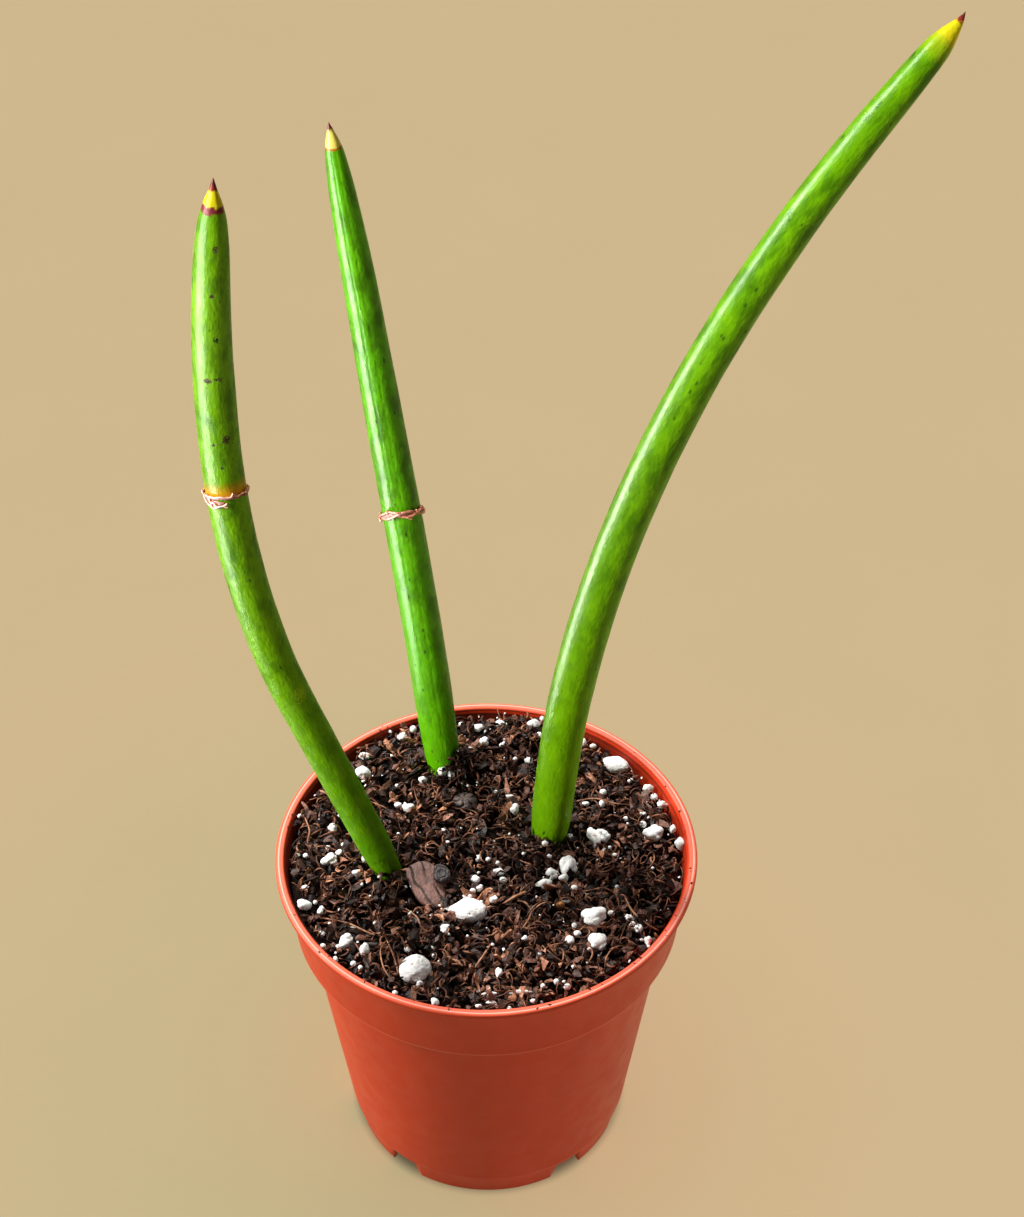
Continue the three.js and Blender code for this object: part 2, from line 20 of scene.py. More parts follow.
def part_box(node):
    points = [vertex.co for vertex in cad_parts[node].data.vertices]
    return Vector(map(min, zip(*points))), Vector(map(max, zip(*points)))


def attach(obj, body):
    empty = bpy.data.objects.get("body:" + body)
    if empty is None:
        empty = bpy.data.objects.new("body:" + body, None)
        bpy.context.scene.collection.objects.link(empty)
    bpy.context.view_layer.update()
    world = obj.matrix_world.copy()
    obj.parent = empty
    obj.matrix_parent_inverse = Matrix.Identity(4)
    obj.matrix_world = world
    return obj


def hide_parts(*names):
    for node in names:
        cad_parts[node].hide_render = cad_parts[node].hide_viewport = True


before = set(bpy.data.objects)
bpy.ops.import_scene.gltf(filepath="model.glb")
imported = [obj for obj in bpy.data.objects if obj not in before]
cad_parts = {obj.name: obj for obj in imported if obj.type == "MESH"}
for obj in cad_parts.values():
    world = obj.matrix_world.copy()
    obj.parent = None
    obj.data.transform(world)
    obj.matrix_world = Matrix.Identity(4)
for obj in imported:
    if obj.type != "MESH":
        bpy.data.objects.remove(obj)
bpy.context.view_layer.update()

MM = 0.001
pot_low, pot_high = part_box("nursery_pot")
POT_AXIS = Vector(((pot_low.x + pot_high.x) / 2, (pot_low.y + pot_high.y) / 2, 0))
RIM_RADIUS = (pot_high.x - pot_low.x) / 2 / MM
POT_HEIGHT = pot_high.z / MM
print(f"pot: {2 * RIM_RADIUS:.1f} mm across, {POT_HEIGHT:.1f} mm tall, axis at {POT_AXIS.to_tuple(4)}")

# %% [markdown]
# ## From mesh to piece
# Every piece ends the same way: it is scaled to metres, moved to the pot's axis, given its material,
# and tied to the body that it moves with. One function does that, so no piece can miss a step.
# The pieces go in three collections, the upright leaves, the right leaf, and the pot with its mix, so
# that a lamp can be aimed at one of them alone.

# %% Collections
def new_collection(name, parent):
    made = bpy.data.collections.new(name)
    parent.children.link(made)
    return made


plant = new_collection("plant", bpy.context.scene.collection)
foliage = new_collection("foliage", plant)
arched = new_collection("arched_leaf", plant)
potware = new_collection("pot_and_mix", plant)

# %% Finish a piece
LEAF_SLOTS = ("leaf_skin", "dry_ring")


def finish_piece(bm, name, material, slot, *nodes, smooth=True):
    """Makes a piece of the model from a mesh in millimetres."""
    bmesh.ops.scale(bm, vec=(MM, MM, MM), verts=bm.verts)
    bmesh.ops.translate(bm, vec=POT_AXIS, verts=bm.verts)
    mesh = bpy.data.meshes.new(name)
    bm.to_mesh(mesh)
    bm.free()
    if smooth:
        mesh.shade_smooth()
    else:
        mesh.shade_flat()
    mesh.materials.append(material)
    piece = bpy.data.objects.new(name, mesh)
    home = foliage if slot in LEAF_SLOTS else potware
    if "right_leaf" in nodes:
        home = arched
    home.objects.link(piece)
    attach(piece, "root")
    if nodes:
        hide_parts(*nodes)
    print(f"{name}: {len(mesh.polygons)} faces")
    return piece


# %% [markdown]
# ## Camera
# The photograph looks down on the pot at about 42 degrees. The rim, the step and the foot of the pot are
# circles of known size, so the tilt, the distance and the focal length follow from their ellipses. The
# focal length is given in pixels of the 1217-pixel-high picture and turned into a lens for the sensor.

# %% Place the camera
CAMERA_PLACE = Vector((7.3, -463.9, 613.0))
CAMERA_DIP = 41.757
FOCAL_PIXELS = 2400
PICTURE_HEIGHT_PIXELS = 1217
SENSOR_WIDTH = 36

camera_data = bpy.data.cameras.new("camera")
camera_data.sensor_width = SENSOR_WIDTH
camera_data.lens = FOCAL_PIXELS / PICTURE_HEIGHT_PIXELS * SENSOR_WIDTH
camera = bpy.data.objects.new("camera", camera_data)
camera.location = CAMERA_PLACE * MM + POT_AXIS
camera.rotation_euler = (math.radians(90 - CAMERA_DIP), 0, 0)
bpy.context.scene.collection.objects.link(camera)
bpy.context.scene.camera = camera
print(f"lens: {camera_data.lens:.1f} mm")

# %% [markdown]
# ## Building materials
# A material is a small network of nodes. Short helpers keep it readable: one makes a node and fills or
# links its inputs, and the others make the few kinds of node that are needed often. Patterns are measured
# in millimetres too, so the object coordinates, which are metres, are scaled up first.

# %% Node helpers
METRES_TO_MM = 1000


def node(tree, kind, inputs=(), **settings):
    """A new node. Each input is linked if its value is a socket, and otherwise set."""
    made = tree.nodes.new(kind)
    for name, value in settings.items():
        setattr(made, name, value)
    for name, value in dict(inputs).items():
        if isinstance(value, bpy.types.NodeSocket):
            tree.links.new(value, made.inputs[name])
        else:
            made.inputs[name].default_value = value
    return made


def maths(tree, operation, *values):
    return node(tree, "ShaderNodeMath", dict(enumerate(values)), operation=operation).outputs[0]


def times(tree, first, second):
    return maths(tree, "MULTIPLY", first, second)


def off_by(tree, value, middle):
    """How far a number is from a middle one, on either side."""
    return maths(tree, "ABSOLUTE", maths(tree, "SUBTRACT", value, middle))


def vector(tree, operation, *values):
    return node(tree, "ShaderNodeVectorMath", dict(enumerate(values)), operation=operation).outputs[0]


def scaled(tree, place, factor):
    inputs = {0: place, "Scale": factor}
    return node(tree, "ShaderNodeVectorMath", inputs, operation="SCALE").outputs[0]


def in_units(tree, place, unit):
    """A place measured in units of the given size."""
    return scaled(tree, place, maths(tree, "DIVIDE", 1.0, unit))


def length_of(tree, offset):
    return node(tree, "ShaderNodeVectorMath", {0: offset}, operation="LENGTH").outputs["Value"]


def axis_of(tree, place, axis):
    """The coordinate X, Y or Z of a place."""
    return node(tree, "ShaderNodeSeparateXYZ", {0: place}).outputs[axis]


def carried(tree, name, output="Fac"):
    """The number, or the vector, that each point of the mesh carries under that name."""
    return node(tree, "ShaderNodeAttribute", attribute_name=name).outputs[output]


def noise_at(tree, place, detail, scale=1.0, roughness=0.5):
    """A cloudy random pattern from 0 to 1."""
    inputs = {"Vector": place, "Scale": scale, "Detail": detail, "Roughness": roughness}
    return node(tree, "ShaderNodeTexNoise", inputs).outputs["Fac"]


def mix(tree, share, first, second, blend_type="MIX"):
    inputs = {0: share, 6: first, 7: second}
    return node(tree, "ShaderNodeMix", inputs, data_type="RGBA", blend_type=blend_type).outputs[2]


def paint(tree, colour, tone, mask, strength):
    """Lays a tone over a colour where a mask lets it through."""
    return mix(tree, times(tree, mask, strength), colour, tone)


def fade(tree, value, start, end, low=0.0, high=1.0):
    """Goes smoothly from low to high while the value goes from start to end."""
    inputs = {"Value": value, "From Min": start, "From Max": end, "To Min": low, "To Max": high}
    return node(tree, "ShaderNodeMapRange", inputs, interpolation_type="SMOOTHSTEP").outputs[0]


def ramp(tree, value, stops):
    """A colour ramp with a stop at each (place from 0 to 1, colour)."""
    made = node(tree, "ShaderNodeValToRGB", {"Fac": value})
    elements = made.color_ramp.elements
    while len(elements) < len(stops):
        elements.new(0.5)
    for element, (place, colour) in zip(elements, stops):
        element.position = place
        element.color = colour
    return made


def new_material(name, roughness, specular=0.5):
    """A material with its shader and the piece's own coordinates in millimetres."""
    material = bpy.data.materials.new(name)
    material.use_nodes = True
    tree = material.node_tree
    shader = tree.nodes["Principled BSDF"]
    shader.inputs["Roughness"].default_value = roughness
    shader.inputs["Specular IOR Level"].default_value = specular
    metres = node(tree, "ShaderNodeTexCoord").outputs["Object"]
    return material, tree, shader, scaled(tree, metres, METRES_TO_MM)


def set_surface(tree, shader, colour, height, depth):
    """Gives the shader a colour, and a height pattern as relief of that depth in millimetres."""
    bump = node(tree, "ShaderNodeBump", {"Height": height, "Distance": depth * MM, "Strength": 1.0})
    tree.links.new(colour, shader.inputs["Base Color"])
    tree.links.new(bump.outputs["Normal"], shader.inputs["Normal"])


# %% [markdown]
# ## Effects that several materials share
# Leaf skin, bark, perlite and plastic look different, but the same four effects are in them: cloudy
# patches, a fine grain, round specks, and the peat dust that settles on whatever faces up. Each effect is
# a node group with named inputs, built once and placed with other values in each material.

# %% Group helpers
SOCKET_KINDS = {float: "NodeSocketFloat", tuple: "NodeSocketVector"}
ORIGIN = (0.0, 0.0, 0.0)


def new_group(name, output, **inputs):
    """A node group that works on a place, its inputs, and a function that connects its output."""
    tree = bpy.data.node_groups.new(name, "ShaderNodeTree")
    for label, value in {"place": ORIGIN, **inputs}.items():
        kind = SOCKET_KINDS[type(value)]
        socket = tree.interface.new_socket(label.capitalize(), in_out="INPUT", socket_type=kind)
        socket.default_value = value
    tree.interface.new_socket(output, in_out="OUTPUT", socket_type="NodeSocketFloat")
    given = tree.nodes.new("NodeGroupInput").outputs
    result = tree.nodes.new("NodeGroupOutput")
    return tree, given, lambda value: tree.links.new(value, result.inputs[output])


def place_group(tree, group, place, **inputs):
    """Places a group in a material and returns its output."""
    settings = {name.capitalize(): value for name, value in inputs.items()}
    return node(tree, "ShaderNodeGroup", {"Place": place, **settings}, node_tree=group).outputs[0]


# %% Cloudy patches
def cloud_group():
    tree, given, give = new_group("cloudy patches", "Mask", size=5.0, level=0.5, softness=0.12)
    cloud = noise_at(tree, in_units(tree, given["Place"], given["Size"]), detail=4.0, roughness=0.55)
    low = maths(tree, "SUBTRACT", given["Level"], given["Softness"])
    high = maths(tree, "ADD", given["Level"], given["Softness"])
    give(fade(tree, cloud, low, high))
    return tree


CLOUDS = cloud_group()


def two_tone(tree, place, first, second, **clouds):
    """Two tones in cloudy patches."""
    return mix(tree, place_group(tree, CLOUDS, place, **clouds), first, second)


# %% Fine grain
def grain_group():
    tree, given, give = new_group("fine grain", "Height", size=0.5, coarse=0.5)
    place = in_units(tree, given["Place"], given["Size"])
    fine = noise_at(tree, place, detail=3.0)
    coarse = noise_at(tree, place, detail=1.0, scale=0.3)
    give(maths(tree, "ADD", fine, times(tree, coarse, given["Coarse"])))
    return tree


GRAIN = grain_group()


# %% Round specks
def speck_group():
    tree, given, give = new_group("round specks", "Mask", spacing=3.0, radius=0.3, share=0.3)
    place = in_units(tree, given["Place"], given["Spacing"])
    cells = node(tree, "ShaderNodeTexVoronoi", {"Vector": place, "Scale": 1.0}).outputs
    radius = maths(tree, "DIVIDE", given["Radius"], given["Spacing"])
    inside = fade(tree, cells["Distance"], radius, times(tree, radius, 0.5))
    lot = node(tree, "ShaderNodeSeparateColor", {"Color": cells["Color"]}).outputs["Red"]
    give(times(tree, inside, maths(tree, "LESS_THAN", lot, given["Share"])))
    return tree


SPECKS = speck_group()

# %% Settled dust
DUST_PATCH_SCALE = 0.9
DUST_EDGE = 0.12
FACING_UP = 0.9


def dust_group():
    tree, given, give = new_group("settled dust", "Mask", amount=0.3)
    normal = node(tree, "ShaderNodeNewGeometry").outputs["Normal"]
    lying = fade(tree, axis_of(tree, normal, "Z"), 0.0, FACING_UP)
    patchy = noise_at(tree, scaled(tree, given["Place"], DUST_PATCH_SCALE), detail=6.0, roughness=0.75)
    level = maths(tree, "SUBTRACT", 0.8, times(tree, given["Amount"], 0.5))
    give(times(tree, fade(tree, patchy, level, maths(tree, "ADD", level, DUST_EDGE)), lying))
    return tree


DUST = dust_group()
print("shared effects:", ", ".join(group.name for group in bpy.data.node_groups))


# %% [markdown]
# ## Floor and studio light
# The photograph has a plain warm surface with hardly a shadow on it, as when the ground is lit by a lamp
# of its own, and a tall soft light at the left, which draws a pale stripe along the left of each leaf.
# Light linking does the same here: two lamps light the floor alone, the others the plant alone, and a dim
# sky ties them together. Only the wide second floor lamp is blocked by the plant, which leaves a soft
# shade round the foot of the pot. On the left the red of the pot falls on the floor more than in the
# photograph, so the paper is a little less red there. The first floor lamp shines through the pot, so
# the paper under the pot is painted dark, as it looks through the notches.

# %% Floor
FLOOR_SIZE = 3.0
FLOOR_COLOUR = (0.632, 0.486, 0.277, 1)
FLOOR_COLOUR_LOW = (0.622, 0.479, 0.272, 1)
NEAR_TINT = (0.83, 0.99, 0.98, 1)
NEAR_REACH = (230.0, 60.0)
TINTED_SIDE = (40.0, -45.0)
CONTACT_TINT = (0.24, 0.24, 0.22, 1)
CONTACT_REACH = (43.5, 38.0)

stage = new_collection("stage", bpy.context.scene.collection)


def floor_material():
    material, tree, shader, place = new_material("warm_paper", roughness=0.9)
    tint = two_tone(tree, place, FLOOR_COLOUR, FLOOR_COLOUR_LOW, size=60.0, softness=0.3)
    from_axis = vector(tree, "SUBTRACT", place, POT_AXIS / MM)
    distance = length_of(tree, from_axis)
    near = fade(tree, distance, *NEAR_REACH)
    near_left = times(tree, near, fade(tree, axis_of(tree, from_axis, "X"), *TINTED_SIDE))
    tint = mix(tree, near_left, tint, NEAR_TINT, "MULTIPLY")
    tint = mix(tree, fade(tree, distance, *CONTACT_REACH), tint, CONTACT_TINT, "MULTIPLY")
    set_surface(tree, shader, tint, place_group(tree, GRAIN, place, size=0.8), depth=0.02)
    return material


bm = bmesh.new()
bmesh.ops.create_grid(bm, x_segments=4, y_segments=4, size=FLOOR_SIZE)
floor_mesh = bpy.data.meshes.new("floor")
bm.to_mesh(floor_mesh)
bm.free()
floor_mesh.materials.append(floor_material())
floor = bpy.data.objects.new("floor", floor_mesh)
stage.objects.link(floor)

# %% [markdown]
# The leaves stand upright and the camera looks down on them, so the mirror direction of their left side
# points down and to the left. That is why the stripe light reaches from well above the plant to below it.
# It is seen in the gloss alone, and the leaf key beside it gives the leaves their light and shade. The
# right leaf leans away from them, and its stripe is narrower and nearer its left edge. So it has lamps of
# its own: a key and a stripe further round to the back, and a weak light on its right edge.

# %% Lights
LAMP_WHITE = (1.0, 0.985, 0.95)
SKY_COLOUR = (1.0, 0.97, 0.93, 1)
SKY_STRENGTH = 0.055
PLANT_MIDDLE = Vector((POT_AXIS.x, 0, 0.2))
OVER_POT = (POT_AXIS.x, 0, 2)
SHADE_SPREAD = 60


def lamp_for(kind, name, place, energy, lit, blockers):
    """A lamp aimed at the plant that lights one collection and is blocked by one."""
    lamp = bpy.data.lights.new(name, kind)
    lamp.energy = energy
    lamp.color = LAMP_WHITE
    holder = bpy.data.objects.new(name, lamp)
    holder.location = place
    holder.rotation_euler = (PLANT_MIDDLE - Vector(place)).to_track_quat("-Z", "Y").to_euler()
    bpy.context.scene.collection.objects.link(holder)
    holder.light_linking.receiver_collection = lit
    holder.light_linking.blocker_collection = blockers
    return holder


def soft_box(name, place, width, height, watts, lit):
    """An oblong lamp that the whole plant can block."""
    holder = lamp_for("AREA", name, place, watts, lit, plant)
    holder.data.shape = "RECTANGLE"
    holder.data.size = width
    holder.data.size_y = height
    return holder


lamp_for("SUN", "floor_lamp", OVER_POT, 2.25, stage, stage)
lamp_for("SUN", "floor_shade", OVER_POT, 0.7, stage, plant).data.angle = math.radians(SHADE_SPREAD)
soft_box("overhead", (-0.5, 0.5, 1.15), 0.22, 0.22, 20, potware)
soft_box("left_key", (-0.75, 0.05, 0.55), 0.25, 0.25, 9, potware)
soft_box("leaf_key", (-0.72, -0.37, 0.74), 0.3, 0.3, 17.5, foliage).visible_glossy = False
soft_box("leaf_stripe", (-0.51, -0.22, 0.22), 0.42, 1.2, 70, foliage).visible_diffuse = False
soft_box("arched_key", (-0.76, -0.29, 0.74), 0.3, 0.3, 19, arched).visible_glossy = False
soft_box("arched_stripe", (-0.55, 0.09, 0.22), 0.22, 1.2, 48, arched).visible_diffuse = False
soft_box("arched_rim", (0.75, 0.40, 0.30), 0.3, 0.6, 3.5, arched).visible_glossy = False
soft_box("back_glint", (0.1, 0.9, 0.95), 0.7, 0.35, 6, plant)
soft_box("right_fill", (0.93, -0.1, 0.35), 0.15, 0.6, 1.5, potware)

world = bpy.data.worlds.new("studio")
world.use_nodes = True
sky = world.node_tree.nodes["Background"]
sky.inputs["Color"].default_value = SKY_COLOUR
sky.inputs["Strength"].default_value = SKY_STRENGTH
bpy.context.scene.world = world
bpy.context.scene.view_settings.view_transform = "Standard"
print("lamps:", ", ".join(lamp.name for lamp in bpy.data.lights))

# %% [markdown]
# ## The nursery pot
# The pot is moulded from thin polypropylene: a narrow lip, a collar that ends in a small step, a tapered
# body, and a foot ring with drainage notches. A moulded round thing is best made by spinning its section
# about the axis. The sharp corners of the section are then bevelled ring by ring, because a mould never
# leaves a sharp edge, and the notches are cut with planes.

# %% Section of the pot
WALL = 0.9
LIP_HEIGHT = 1.6
LIP_WIDTH = 2.5
COLLAR_TOP_RADIUS = 57.8
COLLAR_FOOT_RADIUS = 55.7
STEP_HEIGHT = 84.4
STEP_DROP = 0.8
BODY_TOP_RADIUS = 52.2
BODY_FOOT_RADIUS = 42.6
FOOT_LINE_HEIGHT = 8
FOOT_LINE_INSET = 0.4
FOOT_RADIUS = 40.7
FOOT_WALL = 1.2
FLOOR_UNDERSIDE = 7
FLOOR_TOP = 8.1
POT_STEPS = 160

LIP_BASE = POT_HEIGHT - LIP_HEIGHT
STEP_TOP = STEP_HEIGHT + STEP_DROP
POT_INSIDE = [
    (BODY_FOOT_RADIUS - WALL, FLOOR_TOP),
    (BODY_TOP_RADIUS - WALL, STEP_HEIGHT),
    (COLLAR_FOOT_RADIUS - WALL, STEP_TOP),
    (COLLAR_TOP_RADIUS - WALL, LIP_BASE),
]
FOOT_INNER = (FOOT_RADIUS - FOOT_WALL, FLOOR_UNDERSIDE)
LIP_OUTER_TOP = (RIM_RADIUS, POT_HEIGHT)
LIP_OUTER_FOOT = (RIM_RADIUS, LIP_BASE)
LIP_INNER_TOP = (RIM_RADIUS - LIP_WIDTH, POT_HEIGHT)
LIP_INNER_FOOT = (RIM_RADIUS - LIP_WIDTH, LIP_BASE + 0.4)
POT_SECTION = [
    FOOT_INNER,
    (FOOT_RADIUS - FOOT_WALL, 0),
    (FOOT_RADIUS, 0),
    (BODY_FOOT_RADIUS - FOOT_LINE_INSET, FOOT_LINE_HEIGHT),
    (BODY_FOOT_RADIUS, FOOT_LINE_HEIGHT + FOOT_LINE_INSET),
    (BODY_TOP_RADIUS, STEP_HEIGHT - STEP_DROP),
    (COLLAR_FOOT_RADIUS, STEP_HEIGHT),
    (COLLAR_TOP_RADIUS, LIP_BASE),
    LIP_OUTER_FOOT,
    LIP_OUTER_TOP,
    LIP_INNER_TOP,
    LIP_INNER_FOOT,
    *reversed(POT_INSIDE),
]
BEVELS = [
    (LIP_OUTER_TOP, 0.6),
    (LIP_INNER_TOP, 0.6),
    (LIP_OUTER_FOOT, 0.35),
    ((COLLAR_FOOT_RADIUS, STEP_HEIGHT), 0.3),
    ((BODY_TOP_RADIUS, STEP_HEIGHT - STEP_DROP), 0.5),
    ((FOOT_RADIUS, 0), 0.3),
    ((COLLAR_FOOT_RADIUS - WALL, STEP_TOP), 0.4),
]


# %% Spin and bevel
WELD = 1e-4
NEARLY = 1e-3


def spin_round(bm, geometry, steps):
    """Turns a section all the way round the Z axis."""
    settings = {"cent": (0, 0, 0), "axis": (0, 0, 1), "angle": math.tau, "steps": steps}
    bmesh.ops.spin(bm, geom=geometry, use_merge=True, **settings)


def spun(section, steps):
    """A mesh turned about the Z axis from a section of (radius, height) pairs."""
    bm = bmesh.new()
    corners = [bm.verts.new((radius, 0, height)) for radius, height in section]
    edges = [bm.edges.new(pair) for pair in zip(corners, corners[1:])]
    spin_round(bm, corners + edges, steps)
    bmesh.ops.remove_doubles(bm, verts=bm.verts, dist=WELD)
    bmesh.ops.recalc_face_normals(bm, faces=bm.faces)
    return bm


def ring_edges(bm, radius, height):
    """The edges of the circle at that radius and height."""
    def on_ring(vert):
        return abs(vert.co.z - height) < NEARLY and abs(vert.co.xy.length - radius) < NEARLY
    return [edge for edge in bm.edges if all(on_ring(vert) for vert in edge.verts)]


pot = spun(POT_SECTION, POT_STEPS)
for (radius, height), width in BEVELS:
    circle = ring_edges(pot, radius, height)
    bmesh.ops.bevel(
        pot, geom=circle, offset=width, segments=3, profile=0.5, affect="EDGES", material=-1,
    )
print("pot after its bevels:", len(pot.faces), "faces")

# %% [markdown]
# The floor of the pot has drain holes. Both its faces are filled between the wall and the hole circles
# in one go, and each pair of circles is bridged, which gives clean holes without a boolean.

# %% Floor with drain holes
DRAIN_RADIUS = 4
DRAIN_CIRCLE = 26
DRAIN_COUNT = 6
DRAIN_SIDES = 24

drain_centres = [Vector((0, 0, 0))]
for k in range(DRAIN_COUNT):
    drain_centres.append(Matrix.Rotation(k / DRAIN_COUNT * math.tau, 3, "Z") @ Vector((DRAIN_CIRCLE, 0, 0)))


def fill_floor(bm, radius, height):
    """Fills the floor at one height, and returns the edges of each hole."""
    edges = ring_edges(bm, radius, height)
    holes = []
    for centre in drain_centres:
        place = Matrix.Translation(centre + Vector((0, 0, height)))
        ring = bmesh.ops.create_circle(bm, segments=DRAIN_SIDES, radius=DRAIN_RADIUS, matrix=place)
        holes.append(list({edge for vert in ring["verts"] for edge in vert.link_edges}))
    every = edges + [edge for hole in holes for edge in hole]
    bmesh.ops.triangle_fill(bm, edges=every, use_beauty=True)
    return holes


lower_holes = fill_floor(pot, *FOOT_INNER)
upper_holes = fill_floor(pot, *POT_INSIDE[0])
for lower, upper in zip(lower_holes, upper_holes):
    bmesh.ops.bridge_loops(pot, edges=lower + upper)

# %% [markdown]
# Each notch is cut by three planes: two slanted sides and a level top. What they enclose is deleted, and
# the cut edges of the outer and the inner wall are bridged, so the ring keeps its thickness.

# %% Drainage notches
NOTCH_HEIGHT = 6.5
NOTCH_FOOT_WIDTH = 10.7
NOTCH_TOP_WIDTH = 8.2
NOTCH_PITCH = 36
NOTCH_FRONT = -91
NOTCHES_A_SIDE = 4
CUT_CEILING = FOOT_LINE_HEIGHT - 0.5
CUT_NEAREST = FOOT_RADIUS * 0.8


def cut_notch(bm, heading):
    """Cuts one notch in the foot ring, at that heading in degrees."""
    turn = Matrix.Rotation(math.radians(heading), 3, "Z")
    out, across = turn @ Vector((1, 0, 0)), turn @ Vector((0, 1, 0))
    ring_middle = FOOT_RADIUS - FOOT_WALL / 2

    def near(face):
        centre = face.calc_center_median()
        low = centre.z < CUT_CEILING and abs(centre.dot(across)) < NOTCH_FOOT_WIDTH
        return low and centre.dot(out) > CUT_NEAREST

    lean = (NOTCH_FOOT_WIDTH - NOTCH_TOP_WIDTH) / 2
    planes = [(Vector((0, 0, NOTCH_HEIGHT)), Vector((0, 0, 1)))]
    for side in (-1, 1):
        side_normal = across * (side * NOTCH_HEIGHT) + Vector((0, 0, lean))
        planes.append((across * side * NOTCH_FOOT_WIDTH / 2, side_normal))
    for point, normal in planes:
        faces = [face for face in bm.faces if near(face)]
        geometry = {*faces, *(edge for face in faces for edge in face.edges)}
        geometry |= {vert for face in faces for vert in face.verts}
        bmesh.ops.bisect_plane(bm, geom=list(geometry), dist=WELD, plane_co=point, plane_no=normal)

    def inside(face):
        centre = face.calc_center_median()
        return near(face) and all((centre - point).dot(normal) < 0 for point, normal in planes)

    bmesh.ops.delete(bm, geom=[face for face in bm.faces if inside(face)], context="FACES")
    sides = {True: [], False: []}
    for edge in bm.edges:
        corner = edge.verts[0].co
        if not edge.is_boundary or abs(corner.dot(across)) > NOTCH_FOOT_WIDTH:
            continue
        outer = [vert.co.xy.length > ring_middle for vert in edge.verts]
        if corner.dot(out) > 0 and outer[0] == outer[1]:
            sides[outer[0]].append(edge)
    bmesh.ops.bridge_loops(bm, edges=sides[True] + sides[False])


for k in range(1, NOTCHES_A_SIDE + 1):
    cut_notch(pot, NOTCH_FRONT - NOTCH_PITCH * k)
    cut_notch(pot, NOTCH_FRONT + NOTCH_PITCH * k)
bmesh.ops.recalc_face_normals(pot, faces=pot.faces)
print("open edges left on the pot:", sum(not edge.is_manifold for edge in pot.edges))

# %% [markdown]
# The plastic is a satin red-orange. Its colour drifts a little, as mould flow leaves it, its gloss is
# broken by a fine grain, it carries scuffs, and peat dust settles where it faces up. The inner wall is
# painted darker in the dust's colour, as painted shade. The lip's top is painted paler, as painted sheen,
# with a pale line near its outer edge as a painted highlight. Pale lines on the edges of the step and of
# the foot line are painted highlights, and a dark line in the corner under the lip is painted shade. A row
# of heights with a width, a strength and a tone for each is enough for these lines, since they all run
# round the pot.

# %% Plastic
PLASTIC_RED = (0.70, 0.042, 0.007, 1)
PLASTIC_DEEP = (0.62, 0.034, 0.005, 1)
# A pale tone for scuffs of real wear, and for the painted sheen and painted highlights below.
PLASTIC_WEAR_AND_SHEEN = (0.80, 0.17, 0.09, 1)
PLASTIC_SHADE = (0.24, 0.014, 0.004, 1)
# Painted highlight: a pale line along the lip's outer edge.
RIM_HIGHLIGHT = (0.95, 0.50, 0.40, 1)
RIM_HIGHLIGHT_RADIUS = 59.0
RIM_HIGHLIGHT_REACH = (0.28, 0.08)
RIM_HIGHLIGHT_GAIN = 1.4
# Painted sheen: the lip's top is painted paler.
LIP_TOP = (POT_HEIGHT - 0.9, POT_HEIGHT - 0.1)
LIP_SHEEN = 0.45
SCUFF_WEAR = 0.25
PEAT_DUST_AND_SHADE = (0.05, 0.025, 0.016, 1)
DUST_STRENGTH = 0.8
DUST_ROUGHNESS = 0.4
# Painted shade: the inner wall is darkened in the peat dust's colour.
INNER_SHADE = 0.6
INNER_FACING = (-10.0, -40.0)
SATIN_RANGE = (0.36, 0.46)
SPECK_HEIGHT = 0.6
MOULD_FLOW = (1.0, 1.0, 0.35)
SCUFF_STRETCH = (0.12, 0.12, 1.6)
LEVEL_ONLY = (1.0, 1.0, 0.0)
# Pale lines on the step and foot-line edges are painted highlights. The dark line under the lip is painted
# shade.
EDGE_LIGHT_AND_SHADE = [
    (STEP_HEIGHT + 0.3, 0.5, 0.7, PLASTIC_WEAR_AND_SHEEN),
    (FOOT_LINE_HEIGHT + 0.3, 0.4, 0.4, PLASTIC_WEAR_AND_SHEEN),
    (LIP_BASE - 0.3, 0.5, 0.75, PLASTIC_SHADE),
]


